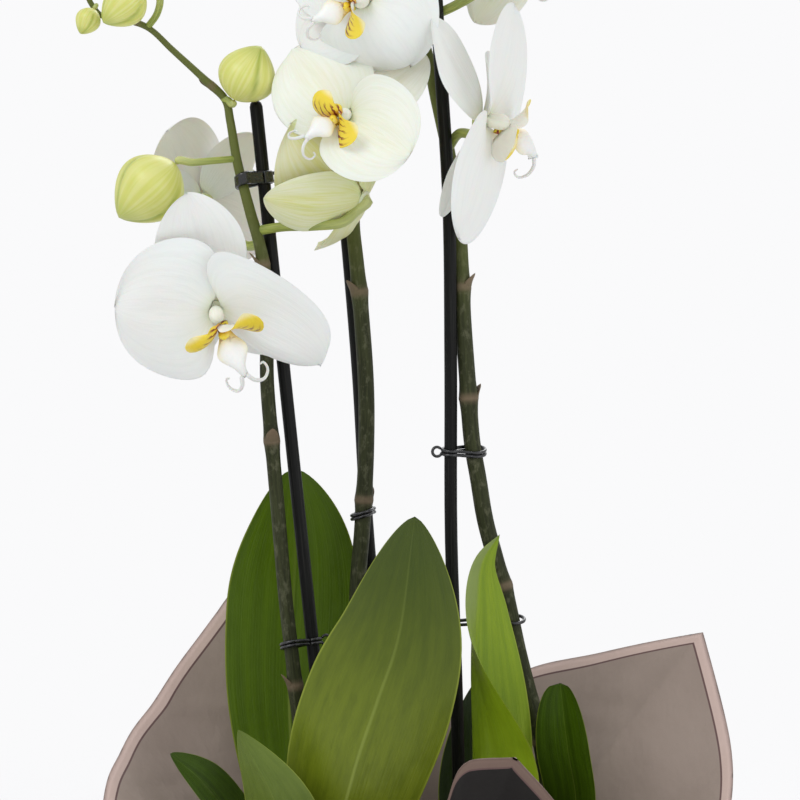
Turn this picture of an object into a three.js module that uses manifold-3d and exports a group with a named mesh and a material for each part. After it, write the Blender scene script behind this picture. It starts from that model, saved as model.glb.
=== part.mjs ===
// A potted moth orchid: two plants in one grow pot, three staked flower spikes, in a gathered paper wrap.
// Millimetres, +Z up. The origin is the centre of the wrap's flat underside, -Y is the front.
import * as THREE from "three";
import { ParametricGeometry } from "three/addons/geometries/ParametricGeometry.js";
import { mergeGeometries, mergeVertices } from "three/addons/utils/BufferGeometryUtils.js";
import Module from "manifold-3d";

const wasm = await Module();
wasm.setup();

// ---- Driving dimensions -------------------------------------------------------------------------

const GAP = 0.35; // clearance between pieces that touch
const PAPER = 0.8; // thickness of the wrap's shell

const POT = { floorZ: PAPER + GAP, height: 110, baseR: 44, topR: 57, rimR: 60, lip: 5, floor: 2, wall: 1.5 };
const DRAIN = { count: 6, radius: 4, ringR: 26, sides: 8 };
const MEDIUM = { topZ: 98, fromWall: 0.8, bump: 1.6, segments: 24 };
const CROWN = { radius: 8.5, bottomZ: 92, topZ: 134, sides: 12 };
const CROWN_AT = { left: [-40, 4], right: [36.5, 4] };

const WRAP = { floorR: 45, neckR: 61.2, neckZ: 103, brimZ: 113, bow: 0.22, segments: 40 };
const LEAF = { thickness: 1.8, across: 4, along: 9 };

const STAKE = { radius: 2.9, sides: 10, footZ: 12, steps: 8 };
const STEM = { tipR: 1.2, thinsFrom: 0.35, sides: 7 };
const PEDICEL = { radius: 1.6, flowerEnd: 2.2, sides: 5, steps: 6 };
const CLIP = { wall: 1.3, height: 4.2, slack: 0.6, earR: 2.4, bite: 0.8 };

const FLOWER = { hubR: 4, hubBack: -2.4, hubSides: 7, discR: 3.4, discHalf: 0.6, start: 1.5, thickness: 1 };
const OPEN = [8, -22]; // slope of an open flower's petals at the centre and at the tip, in degrees
const PETAL = { length: 46, width: 52, angles: [13, 167], across: 3, along: 6 };
const SEPAL = { length: 43, width: 30, angles: [90, 214, 326], across: 2, along: 5 };
const SEPAL_BACK = { atHub: 2.1, setBack: 4.2 };
const COLUMN = { radius: 3, length: 9 };
const LIP = { length: 23, lobeWidth: 20, tongueWidth: 13, lobesAt: 0.36, curlR: [6.5, 15], thickness: 1 };
const BUD_SIDES = 8;

const COLOURS = {
  petal: [0xf4f4ee, 0.55],
  lip: [0xf2e27a, 0.5],
  stem: [0x4a5a33, 0.5],
  bud: [0xc6cf6a, 0.5],
  leaf: [0x46691c, 0.35],
  stake: [0x17181a, 0.45],
  clip: [0x101012, 0.3],
  crown: [0x6c7440, 0.6],
  medium: [0x4a3526, 0.95],
  pot: [0x3a3733, 0.4],
  wrap: [0x8a7d74, 0.85],
};

// ---- Solids -------------------------------------------------------------------------------------

const vector = ([x, y, z]) => new THREE.Vector3(x, y, z);
const curveThrough = (points) => new THREE.CatmullRomCurve3(points.map(vector), false, "centripetal");
const degrees = THREE.MathUtils.degToRad;
const ease = THREE.MathUtils.smoothstep;
const clamp = THREE.MathUtils.clamp;

// Merges a geometry's shared vertices, drops collapsed faces and turns the faces outwards.
function closed(geometry) {
  geometry.deleteAttribute("normal");
  geometry.deleteAttribute("uv");
  const merged = mergeVertices(geometry, 1e-4);
  const all = Array.from(merged.index.array);
  const faces = [];
  const [a, b, c] = [0, 1, 2].map(() => new THREE.Vector3());
  let volume = 0;
  for (let i = 0; i < all.length; i += 3) {
    const face = all.slice(i, i + 3);
    if (new Set(face).size < 3) continue;
    faces.push(face);
    [a, b, c].forEach((corner, k) => corner.fromBufferAttribute(merged.attributes.position, face[k]));
    volume += a.dot(b.cross(c));
  }
  merged.setIndex(faces.flatMap(([p, q, r]) => (volume < 0 ? [p, r, q] : [p, q, r])));
  return merged;
}

function solid(geometry) {
  const vertProperties = new Float32Array(geometry.attributes.position.array);
  const triVerts = new Uint32Array(geometry.index.array);
  return new wasm.Manifold(new wasm.Mesh({ numProp: 3, vertProperties, triVerts }));
}

function geometryOf(manifold) {
  const { vertProperties, triVerts } = manifold.getMesh();
  const geometry = new THREE.BufferGeometry();
  geometry.setAttribute("position", new THREE.BufferAttribute(vertProperties, 3));
  geometry.setIndex(new THREE.BufferAttribute(triVerts, 1));
  return geometry;
}

const joined = (geometries) => geometryOf(geometries.map(solid).reduce((sum, one) => sum.add(one)));
const cut = (geometry, tools) =>
  geometryOf(tools.map(solid).reduce((rest, tool) => rest.subtract(tool), solid(geometry)));

function mesh(name, geometry, look) {
  const [color, roughness] = COLOURS[look];
  const made = new THREE.Mesh(geometry, new THREE.MeshStandardMaterial({ color, roughness, metalness: 0 }));
  made.name = name;
  return made;
}

// A thin shell from its two faces, which run the same way and meet along their edges.
function twoFaced(front, rear) {
  rear.setIndex(Array.from(rear.index.array).reverse());
  return closed(mergeGeometries([front, rear]));
}

// A thin plate whose two skins meet along its outline. middle(t, s, target) gives its middle surface,
// with t from base to tip and s from edge to edge.
function plate(middle, thickness, across, along) {
  const step = 1e-3;
  const [ahead, back, right, left] = [0, 1, 2, 3].map(() => new THREE.Vector3());
  const skin = (side) => (u, t, target) => {
    const s = 2 * u - 1;
    const inT = clamp(t, 0.02, 0.96);
    middle(inT + step, s, ahead);
    middle(inT - step, s, back);
    middle(inT, s + step, right);
    middle(inT, s - step, left);
    const normal = ahead.sub(back).cross(right.sub(left)).normalize();
    const edge = (1 - s ** 4) * Math.min(1, 8 * t, 8 * (1 - t));
    middle(t, s, target);
    target.addScaledVector(normal, side * (thickness / 2) * Math.max(0, edge));
  };
  return twoFaced(...[1, -1].map((side) => new ParametricGeometry(skin(side), across, along)));
}

// A round rod along a curve, closed at both ends.
function rod(curve, radiusAt, sides, steps) {
  const frames = curve.computeFrenetFrames(steps, false);
  const rows = steps + 2;
  const ring = (u, v, target) => {
    const row = Math.round(v * rows);
    const at = clamp(row - 1, 0, steps);
    const radius = row === 0 || row === rows ? 0 : radiusAt(at / steps);
    const turn = 2 * Math.PI * (u === 1 ? 0 : u);
    curve.getPointAt(at / steps, target);
    target.addScaledVector(frames.normals[at], radius * Math.cos(turn));
    target.addScaledVector(frames.binormals[at], radius * Math.sin(turn));
  };
  return closed(new ParametricGeometry(ring, sides, rows));
}

function turned(points, segments) {
  const lathe = new THREE.LatheGeometry(points.map(([r, z]) => new THREE.Vector2(r, z)), segments);
  return closed(lathe.rotateX(Math.PI / 2));
}

// ---- Pot, medium and crowns ---------------------------------------------------------------------

const POT_TOP = POT.floorZ + POT.height;
const potR = (z) => THREE.MathUtils.mapLinear(z, POT.floorZ, POT_TOP, POT.baseR, POT.topR);

function potGeometry() {
  const { floorZ, floor, baseR, topR, rimR, wall, lip } = POT;
  const shell = turned(
    [
      [0, floorZ],
      [baseR, floorZ],
      [potR(POT_TOP - lip), POT_TOP - lip],
      [rimR, POT_TOP - lip],
      [rimR, POT_TOP],
      [topR - wall, POT_TOP],
      [potR(floorZ + floor) - wall, floorZ + floor],
      [0, floorZ + floor],
    ],
    36,
  );
  const drains = [];
  for (let k = 0; k < DRAIN.count; k++) {
    const drill = new THREE.CylinderGeometry(DRAIN.radius, DRAIN.radius, 4 * floor, DRAIN.sides);
    drill.rotateX(Math.PI / 2).translate(DRAIN.ringR, 0, floorZ).rotateZ((2 * Math.PI * k) / DRAIN.count);
    drains.push(closed(drill));
  }
  return cut(shell, drains);
}

function mediumGeometry(holes) {
  const bottom = POT.floorZ + POT.floor + GAP;
  const inner = (z) => potR(z) - POT.wall - MEDIUM.fromWall;
  const top = (share) => {
    const bump = MEDIUM.bump * Math.sin(9 * share) * (1 - share);
    return [inner(MEDIUM.topZ) * share, MEDIUM.topZ + bump];
  };
  const profile = [[0, bottom], [inner(bottom), bottom], ...[1, 0.7, 0.4].map(top), [0, MEDIUM.topZ]];
  return cut(turned(profile, MEDIUM.segments), holes);
}

function crownGeometry(clearance = 0) {
  const { radius, bottomZ, topZ } = CROWN;
  const r = radius + clearance;
  const bottom = bottomZ - clearance;
  const foot = [[0, bottom], [r - 1.5, bottom], [r, bottom + 4]];
  const head = [[r, topZ - 8], [r - 4, topZ], [0, topZ + 1]];
  return turned([...foot, ...head], CROWN.sides);
}

// ---- Paper wrap ---------------------------------------------------------------------------------

// The paper's outer edge, as azimuth in degrees, distance from the pot's axis and height.
// The four corners of the square sheet stand at 16, 125, 207 and 295 degrees.
const WRAP_EDGE = [
  [4, 149, 187],
  [16, 147, 251],
  [34, 113, 236],
  [53, 94, 222],
  [77, 88, 207],
  [100, 97, 240],
  [125, 116, 287],
  [140, 119, 257],
  [158, 126, 223],
  [176, 132, 203],
  [190, 139, 190],
  [207, 150, 160],
  [228, 118, 152],
  [255, 92, 165],
  [278, 94, 196],
  [295, 105, 219],
  [310, 104, 186],
  [330, 112, 168],
  [348, 132, 168],
];

function wrapEdgeAt(azimuth) {
  const turnOf = (index) => Math.floor(index / WRAP_EDGE.length) * 360;
  const row = (index) => WRAP_EDGE[(index + WRAP_EDGE.length) % WRAP_EDGE.length];
  const wanted = azimuth < WRAP_EDGE[0][0] ? azimuth + 360 : azimuth;
  const next = WRAP_EDGE.findIndex(([edge]) => edge > wanted);
  const high = next < 0 ? WRAP_EDGE.length : next;
  const [from, fromR, fromZ] = row(high - 1);
  const [to, toR, toZ] = row(high);
  const share = (wanted - from) / (to + turnOf(high) - from);
  return { r: fromR + share * (toR - fromR), z: fromZ + share * (toZ - fromZ) };
}

// The sheet's two faces at one azimuth, each flat under the pot, up its wall, then flaring to the edge.
function wrapProfile(azimuth) {
  const { floorR, neckR, neckZ, brimZ, bow } = WRAP;
  const edge = wrapEdgeAt(azimuth);
  const flare = [0.25, 0.5, 0.75, 1].map((share) => {
    const outward = share - bow * Math.sin(Math.PI * share);
    return [neckR + outward * (edge.r - neckR), brimZ + share * (edge.z - brimZ)];
  });
  const inner = [[0, PAPER], [floorR, PAPER], [neckR, neckZ], [neckR, brimZ], ...flare];
  const outer = [[0, 0], [floorR + PAPER, 0], ...inner.slice(2).map(([r, z]) => [r + PAPER, z])];
  return { inner: [...inner, outer.at(-1)], outer };
}

function wrapGeometry() {
  const skin = (face) => {
    const rows = wrapProfile(0)[face].length - 1;
    const point = (u, v, target) => {
      const azimuth = 360 * (u === 1 ? 0 : u);
      const [r, z] = wrapProfile(azimuth)[face][Math.round(v * rows)];
      target.set(r * Math.cos(degrees(azimuth)), r * Math.sin(degrees(azimuth)), z);
    };
    return new ParametricGeometry(point, WRAP.segments, rows);
  };
  return twoFaced(skin("outer"), skin("inner"));
}

// ---- Leaves -------------------------------------------------------------------------------------

// Each leaf: points of its midrib, the way its channel opens, its greatest width and the share of its
// length where that lies, the channel's depth, the width at its base and how blunt its tip is.
const LEAVES = {
  leaf_front: {
    rib: [[-43.8, -4.9, 122], [-42.5, -17, 142], [-36, -31, 163], [-28, -46, 192], [-22, -52, 214],
      [-14, -56, 238], [-5, -57, 266], [2, -52, 318]],
    opens: [0.15, 1, 0.1], width: 69, fullest: 0.52, channel: 0.16, base: 0.24, tip: 0.75,
  },
  leaf_back_tall: {
    rib: [[-44.8, 13.1, 122], [-50, 24, 150], [-54, 32, 185], [-57, 37, 225], [-57, 38, 269],
      [-55, 33, 300], [-55, 24, 331]],
    opens: [0.1, -1, 0.1], width: 60, fullest: 0.6, channel: 0.16, base: 0.26, tip: 0.7,
  },
  leaf_left_front: {
    rib: [[-47.6, -1.9, 108], [-56, -20, 126], [-60, -42, 158], [-64, -56, 190], [-75, -64, 226]],
    opens: [0.55, 0.6, 0.55], width: 32, fullest: 0.5, channel: 0.2, base: 0.45, tip: 0.8,
  },
  leaf_left: {
    rib: [[-49.8, 5.9, 116], [-62, 4, 139], [-76, -9, 166], [-92, -24, 193], [-107, -30, 209]],
    opens: [0.35, -0.5, 0.8], width: 40, fullest: 0.55, channel: 0.2, base: 0.4, tip: 0.7,
  },
  leaf_right_tall: {
    rib: [[36, -6, 122], [41, -14, 150], [43, -20, 185], [40, -24, 215], [33, -26, 245], [29, -25, 272],
      [32, -23, 293], [40, -19, 306]],
    opens: [0.75, -0.65, 0.1], width: 46, fullest: 0.42, channel: 0.5, base: 0.3, tip: 0.55,
  },
  leaf_right_small: {
    rib: [[46.5, -2.7, 108], [61.5, -3, 130], [74, -12, 160], [78, -20, 184], [72, -25, 210],
      [67, -25, 240]],
    opens: [-0.6, -0.7, 0.2], width: 27.5, fullest: 0.6, channel: 0.3, base: 0.28, tip: 0.95,
  },
  leaf_back_dark: {
    rib: [[36, 13.1, 122], [33, 20, 150], [30, 28, 185], [30, 34, 230]],
    opens: [-0.1, -1, 0.2], width: 34, fullest: 0.5, channel: 0.2, base: 0.4, tip: 0.8,
  },
  leaf_back_short: {
    rib: [[43, 11, 108], [47, 20, 126], [48, 30, 152], [43, 39, 184], [34, 44, 208]],
    opens: [-0.4, -0.6, 0.7], width: 36, fullest: 0.55, channel: 0.2, base: 0.35, tip: 0.7,
  },
};

// Half the leaf's width, as a share of its greatest, from base (t = 0) to tip (t = 1).
function leafOutline(t, { fullest, base, tip }) {
  const rise = base + (1 - base) * Math.sin((Math.PI / 2) * Math.min(1, t / fullest));
  const fall = t <= fullest ? 1 : Math.cos((Math.PI / 2) * ((t - fullest) / (1 - fullest))) ** tip;
  return rise * fall;
}

function leafGeometry(leaf) {
  const rib = curveThrough(leaf.rib);
  const opens = vector(leaf.opens).normalize();
  const tangent = new THREE.Vector3();
  const up = new THREE.Vector3();
  const cross = new THREE.Vector3();
  const middle = (t, s, target) => {
    const at = clamp(t, 0, 1);
    rib.getTangentAt(at, tangent);
    up.copy(opens).addScaledVector(tangent, -opens.dot(tangent)).normalize();
    cross.crossVectors(tangent, up);
    const half = (leaf.width / 2) * leafOutline(at, leaf);
    rib.getPointAt(at, target);
    target.addScaledVector(cross, half * s);
    target.addScaledVector(up, leaf.channel * half * Math.abs(s) ** 1.5);
  };
  return plate(middle, LEAF.thickness, LEAF.across, LEAF.along);
}

// ---- Flowers ------------------------------------------------------------------------------------

// In a flower's own frame +Z faces out of the flower and +Y is its top. A petal or sepal leaves the
// centre at the first angle of "open" above the flower's face and bends evenly to the second.
function bend(length, [first, last]) {
  const from = degrees(first);
  const turn = degrees(last - first);
  return (t) => {
    const slope = from + turn * t;
    const out = FLOWER.start + (length * (Math.sin(slope) - Math.sin(from))) / turn;
    const rise = (length * (Math.cos(from) - Math.cos(slope))) / turn;
    return { out, rise, slope };
  };
}

// One petal or sepal, at an angle round the centre. back(t) is how far it lies behind the bend. Its
// breadth curls as a cone of its slope does: round a cupped flower's axis, away from an open one's.
function tepal(angle, size, open, outline, back) {
  const bent = bend(size.length, open);
  const [cos, sin] = [Math.cos(degrees(angle)), Math.sin(degrees(angle))];
  const middle = (t, s, target) => {
    const { out, rise, slope } = bent(t);
    const curl = Math.sin(slope) / Math.max(out, FLOWER.hubR);
    const turn = curl * (size.width / 2) * outline(clamp(t, 0, 1)) * s;
    const sideways = Math.sin(turn) / curl;
    const inward = (1 - Math.cos(turn)) / curl - back(t);
    const r = out - inward * Math.sin(slope);
    target.set(r * cos - sideways * sin, r * sin + sideways * cos, rise + inward * Math.cos(slope));
  };
  return plate(middle, FLOWER.thickness, size.across, size.along);
}

// The two petals and the column between them. grown is the column's and the lip's share of full size.
function petalsGeometry(open, grown) {
  const oval = (t) => Math.max(0, Math.sin(Math.PI * t ** 1.12)) ** 0.55;
  const outline = (t) => 0.1 * (1 - t) + 0.97 * ease(t, -0.33, 0.4) * oval(t);
  const pair = PETAL.angles.map((angle) => tepal(angle, PETAL, open, outline, () => 0));
  const { discR, discHalf } = FLOWER;
  const radius = grown * COLUMN.radius;
  const top = discHalf + grown * COLUMN.length;
  const disc = [[0, -discHalf], [discR, -discHalf], [discR, discHalf]];
  const column = [[radius, discHalf], [radius, top - 2 * grown], [0, top]];
  return joined([turned([...disc, ...column], FLOWER.hubSides), ...pair]);
}

function sepalsGeometry(open) {
  const outline = (t) => 0.14 * (1 - t) + 0.9 * Math.max(0, Math.sin(Math.PI * t ** 0.95)) ** 0.7;
  const back = (t) => SEPAL_BACK.atHub + SEPAL_BACK.setBack * ease(t, 0, 0.65);
  const three = SEPAL.angles.map((angle) => tepal(angle, SEPAL, open, outline, back));
  const { hubR, hubBack, discHalf } = FLOWER;
  const front = -discHalf - GAP;
  const hub = turned([[0, hubBack], [hubR, hubBack], [hubR, front], [0, front]], FLOWER.hubSides);
  return joined([hub, ...three]);
}

// The lip: one blade whose side lobes curl up round the column and whose tongue reaches forward.
function lipGeometry(grown) {
  const { length, lobeWidth, tongueWidth, lobesAt, curlR, thickness } = LIP;
  const below = grown * COLUMN.radius + GAP;
  const middle = (t, s, target) => {
    const at = clamp(t, 0, 1);
    const lobes = lobeWidth * Math.exp(-(((at - lobesAt) / 0.17) ** 2)) * (1 - at);
    const tongue = tongueWidth * (0.3 * (1 - at) + 0.8 * Math.sin(Math.PI * at ** 0.9) ** 0.6);
    const ring = grown * (curlR[0] + (curlR[1] - curlR[0]) * ease(at, 0.5, 0.75));
    const turn = (grown * (lobes + tongue) * s) / (2 * ring);
    const reach = grown * length * t;
    const raised = ring * (1 - Math.cos(turn));
    target.set(ring * Math.sin(turn), raised - below - 0.5 * reach, 2 + 0.8 * reach - 2.5 * grown * t * t);
  };
  return plate(middle, thickness, 4, 8);
}

// Flower centres, the way each faces (0 is the front, 90 the right; elevation above level) and its roll.
// pedicel holds the points of its stalk, from the spike's axis up to the back of the flower.
const FLOWERS = {
  flower_a1: {
    at: [-84, -46, 407], faces: [8, -24], roll: -4, size: 1.04, spike: "a",
    pedicel: [[-65.5, -10, 422], [-72, -16, 422], [-81, -28, 417]],
  },
  flower_a2: {
    at: [-98, 33, 450], faces: [-135, 4], roll: -6, size: 0.9, spike: "a",
    pedicel: [[-66.5, -10, 435], [-74, 2, 434], [-84, 16, 440], [-92, 24, 447]],
  },
  flower_a3: {
    at: [-25, -2, 455], faces: [-120, 30], roll: 20, size: 0.845, open: [33, 80], grown: 0.6, spike: "a",
    pedicel: [[-68, -10, 441], [-56, -14, 443], [-42, -16, 443.5], [-30, -13, 445], [-24, -8, 450]],
  },
  flower_b1: {
    at: [-33, -30, 488], faces: [-8, 12], roll: -50, size: 0.86, spike: "b",
    pedicel: [[-36, 27, 515], [-36, 12, 508], [-34, -8, 494]],
  },
  flower_b2: {
    at: [-26, -38, 545], faces: [-28, -10], roll: -25, size: 1, spike: "b",
    pedicel: [[-42, 19, 565], [-38, 4, 562], [-32, -14, 552]],
  },
  flower_c1: {
    at: [42, -12, 481], faces: [75, -8], roll: 40, size: 1.16, spike: "c",
    pedicel: [[17, 11, 477], [22, 4, 484], [30, -7, 484]],
  },
  flower_c2: {
    at: [50, 16, 560], faces: [150, 10], roll: -20, size: 1, spike: "c",
    pedicel: [[4, 10, 535], [18, 6, 540], [36, 5, 551]],
  },
  flower_c3: {
    at: [-14, -30, 604], faces: [-24, -8], roll: 8, size: 1, spike: "c",
    pedicel: [[2, 6, 574], [-4, -2, 584], [-10, -14, 599]],
  },
};

// The way a flower faces, and the turn that carries its own frame there.
function facing([azimuth, elevation], roll) {
  const [a, e] = [degrees(azimuth), degrees(elevation)];
  const out = new THREE.Vector3(Math.sin(a) * Math.cos(e), -Math.cos(a) * Math.cos(e), Math.sin(e));
  const across = new THREE.Vector3(0, 0, 1).cross(out).normalize();
  const turn = new THREE.Matrix4().makeBasis(across, out.clone().cross(across), out);
  turn.multiply(new THREE.Matrix4().makeRotationZ(degrees(roll)));
  return { out, turn: new THREE.Quaternion().setFromRotationMatrix(turn) };
}

function flower(name, { at, faces, roll, size, open = OPEN, grown = 1 }) {
  const group = new THREE.Group();
  group.position.copy(vector(at));
  group.quaternion.copy(facing(faces, roll).turn);
  group.scale.setScalar(size);
  group.add(mesh(`${name}_sepals`, sepalsGeometry(open), "petal"));
  group.add(mesh(`${name}_petals`, petalsGeometry(open, grown), "petal"));
  group.add(mesh(`${name}_lip`, lipGeometry(grown), "lip"));
  return group;
}

// ---- Buds ---------------------------------------------------------------------------------------

// Each bud: where its base meets its stalk, the way its tip points, its length and greatest width.
const BUDS = {
  bud_a1: {
    base: [-104, -12, 471], points: [-0.72, -0.1, -0.68], length: 35, width: 31, spike: "a",
    pedicel: [[-77.5, -8, 473], [-90, -11, 472], [-97, -12, 471.5]],
  },
  bud_a2: {
    base: [-78, -11, 499], points: [0.45, -0.15, 0.88], length: 27, width: 26, spike: "a",
    pedicel: [[-84, -9, 500], [-81, -10, 499]],
  },
  bud_a3: {
    base: [-117, -28, 547.5], points: [-0.75, -0.16, -0.64], length: 23, width: 19, spike: "a",
    pedicel: [[-116, -16, 531], [-111.5, -19, 537], [-110, -24, 544], [-113, -27, 548.5]],
  },
  bud_a4: {
    base: [-139, -20.5, 539], points: [-0.45, -0.3, -0.84], length: 13, width: 11, spike: "a",
    pedicel: [[-139.5, -17, 540], [-139, -18.5, 540]],
  },
  bud_b1: {
    base: [-70, -6, 601], points: [-0.6, -0.3, -0.6], length: 21, width: 17, spike: "b",
    pedicel: [[-58, 5, 604], [-64, 0, 604], [-67.5, -3, 603]],
  },
  bud_b2: {
    base: [-71, -3, 617], points: [-0.85, -0.35, 0.3], length: 13, width: 11, spike: "b",
    pedicel: [[-62.5, 2.5, 611.5], [-67, 0, 615]],
  },
  bud_c1: {
    base: [17, -14, 608], points: [0.5, -0.55, -0.55], length: 20, width: 17, spike: "c",
    pedicel: [[10, -4, 612], [13, -9, 611]],
  },
  bud_c2: {
    base: [37, -19, 627], points: [0.85, -0.35, 0.1], length: 13, width: 11, spike: "c",
    pedicel: [[27.5, -13.5, 626], [33, -17, 626.5]],
  },
};

function bud(name, { base, points, length, width }) {
  const half = width / 2;
  const profile = [[0, 0], [0.14 * half, 0]];
  for (const share of [0.08, 0.22, 0.42, 0.64, 0.84, 0.96]) {
    profile.push([half * Math.sin(Math.PI * share ** 0.86) ** 0.72, length * share]);
  }
  profile.push([0, length]);
  const made = mesh(name, turned(profile, BUD_SIDES), "bud");
  const way = vector(points).normalize();
  made.position.copy(vector(base)).addScaledVector(way, GAP);
  made.quaternion.setFromUnitVectors(new THREE.Vector3(0, 0, 1), way);
  return made;
}

// ---- Spikes, stakes and clips -------------------------------------------------------------------

// The first two points of a spike's axis: it leaves the side of its crown level, at an azimuth.
function crownSide(side, azimuth, z) {
  const [x, y] = CROWN_AT[side];
  const [cos, sin] = [Math.cos(degrees(azimuth)), Math.sin(degrees(azimuth))];
  const from = CROWN.radius + GAP;
  return [from, from + 3].map((r) => [x + r * cos, y + r * sin, z]);
}

// Each flower spike: points of its axis from the crown upwards, its radius low down and its steps.
const SPIKES = {
  a: {
    axis: [...crownSide("left", 42, 114), [-30, 12.5, 130], [-34, 6, 148], [-38, 1, 163], [-44, -4, 185],
      [-50, -7, 220], [-53, -8, 248], [-56, -8, 275], [-59, -8, 311], [-62, -8, 347], [-64, -8, 374],
      [-64, -9, 401], [-66, -10.5, 430], [-71, -10.5, 449], [-74, -9, 460], [-77, -8, 472], [-80, -8, 490],
      [-82, -9, 499], [-91, -11, 508], [-105, -14, 521], [-116, -16, 531], [-128, -17, 535],
      [-136, -17, 536], [-141, -17, 542], [-143, -17, 547]],
    baseR: 3.2, steps: 36,
  },
  b: {
    axis: [...crownSide("right", 146, 110), [16, 15, 126], [-2, 16, 150], [-15, 18, 172], [-22, 20, 200],
      [-24, 22, 240], [-24, 22, 275], [-22, 22, 301], [-21, 22, 317], [-20, 22, 340], [-20, 22, 368],
      [-23, 22, 412], [-26, 24, 441], [-30, 27, 472], [-34, 28, 499], [-37, 26, 526], [-40, 22, 553],
      [-44, 16, 577], [-52, 9, 597], [-63, 2, 612]],
    baseR: 3.7, steps: 30,
  },
  c: {
    axis: [...crownSide("right", 18, 120), [51, 4, 134], [56, 5, 158], [61, 5, 185], [60, 6, 208],
      [53, 6, 234], [49, 6, 250], [44, 5, 273], [39, 5, 291], [34, 4, 310], [31, 4, 328], [28, 4, 346],
      [26, 5, 373], [24, 6, 400], [23, 8, 423], [22, 10, 441], [20, 11, 459], [17, 11, 477],
      [14, 11, 490], [11, 11, 503], [8, 11, 519], [4, 10, 535], [2, 8, 557], [2, 5, 581], [6, 0, 603],
      [15, -7, 619], [28, -14, 626]],
    baseR: 3.8, steps: 34,
  },
};

// Each stake: points of its axis from its foot in the medium to its top.
const STAKES = {
  a: [[-19, -6, STAKE.footZ], [-69, -3, 499]],
  b: [[8, 31, STAKE.footZ], [-19, 31, 296], [-24, 31, 378], [-31, 31, 462]],
  c: [[26, 2, STAKE.footZ], [21.2, 2, 229], [18.6, 2, 302], [18.3, 2, 380], [17.3, 2.2, 454],
    [13, 2.4, 522], [9, 2.5, 590]],
};

const spikeR = ({ baseR }) => (t) => baseR + (STEM.tipR - baseR) * ease(t, STEM.thinsFrom, 1);

// A flower's or a bud's stalk, up to the gap behind it.
function pedicelGeometry({ pedicel, at, faces, size, base, points, width }) {
  const way = faces ? facing(faces, 0).out : vector(points).normalize();
  const end = vector(at ?? base).addScaledVector(way, faces ? FLOWER.hubBack * size - GAP : 0);
  const before = end.clone().addScaledVector(way, -2);
  const stalk = new THREE.CatmullRomCurve3([...pedicel.map(vector), before, end], false, "centripetal");
  const thin = faces ? PEDICEL.radius : Math.min(PEDICEL.radius, width / 12);
  const thick = faces ? PEDICEL.flowerEnd : 1.2 * thin;
  return rod(stalk, (t) => thin + (thick - thin) * t, PEDICEL.sides, PEDICEL.steps);
}

function spikeGeometry(key) {
  const spike = SPIKES[key];
  const stem = rod(curveThrough(spike.axis), spikeR(spike), STEM.sides, spike.steps);
  const borne = [...Object.values(FLOWERS), ...Object.values(BUDS)].filter((one) => one.spike === key);
  return joined([stem, ...borne.map(pedicelGeometry)]);
}

const stakeCurve = (key) => curveThrough(STAKES[key]);
const stakeRod = (key, radius) => rod(stakeCurve(key), () => radius, STAKE.sides, STAKE.steps);

// The clips, by the stake they grip and their height.
const CLIPS = {
  clip_a_top: ["a", 458],
  clip_a_middle: ["a", 364],
  clip_a_low: ["a", 249],
  clip_b: ["b", 306],
  clip_c_top: ["c", 339],
  clip_c_low: ["c", 258],
};

function pointAtHeight(curve, z) {
  let [low, high] = [0, 1];
  for (let k = 0; k < 40; k++) {
    const half = (low + high) / 2;
    if (curve.getPointAt(half).z < z) low = half;
    else high = half;
  }
  return { point: curve.getPointAt(low), share: low };
}

function stadium(path, length, r) {
  path.absarc(length, 0, r, -Math.PI / 2, Math.PI / 2, false);
  path.absarc(0, 0, r, Math.PI / 2, (3 * Math.PI) / 2, false);
  path.closePath();
  return path;
}

// A closed band round stake and spike, with an ear to squeeze it by.
function clip(name, [key, z]) {
  const stake = stakeCurve(key);
  const spike = pointAtHeight(curveThrough(SPIKES[key].axis), z);
  const { point: at, share } = pointAtHeight(stake, z);
  const up = stake.getTangentAt(share);
  const across = spike.point.clone().sub(at);
  across.addScaledVector(up, -across.dot(up));
  const apart = across.length();
  const inner = Math.max(STAKE.radius, spikeR(SPIKES[key])(spike.share)) + CLIP.slack;
  const shape = stadium(new THREE.Shape(), apart, inner + CLIP.wall);
  shape.holes.push(stadium(new THREE.Path(), apart, inner));
  const extrude = { depth: CLIP.height, bevelEnabled: false, curveSegments: 5 };
  const band = closed(new THREE.ExtrudeGeometry(shape, extrude));
  const ear = new THREE.CylinderGeometry(CLIP.earR, CLIP.earR, CLIP.height, 6).rotateX(Math.PI / 2);
  ear.translate(CLIP.bite - inner - CLIP.wall - CLIP.earR, 0, CLIP.height / 2);
  const made = mesh(name, joined([band, closed(ear)]), "clip");
  across.normalize();
  const turn = new THREE.Matrix4().makeBasis(across, up.clone().cross(across), up);
  made.position.copy(at);
  made.quaternion.setFromRotationMatrix(turn);
  return made;
}

// ---- Assembly -----------------------------------------------------------------------------------

const orchid = new THREE.Group();
orchid.add(mesh("wrap", wrapGeometry(), "wrap"));
orchid.add(mesh("pot", potGeometry(), "pot"));

const holes = Object.keys(STAKES).map((key) => stakeRod(key, STAKE.radius + GAP));
for (const [x, y] of Object.values(CROWN_AT)) holes.push(crownGeometry(GAP).translate(x, y, 0));
orchid.add(mesh("growing_medium", mediumGeometry(holes), "medium"));

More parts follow.
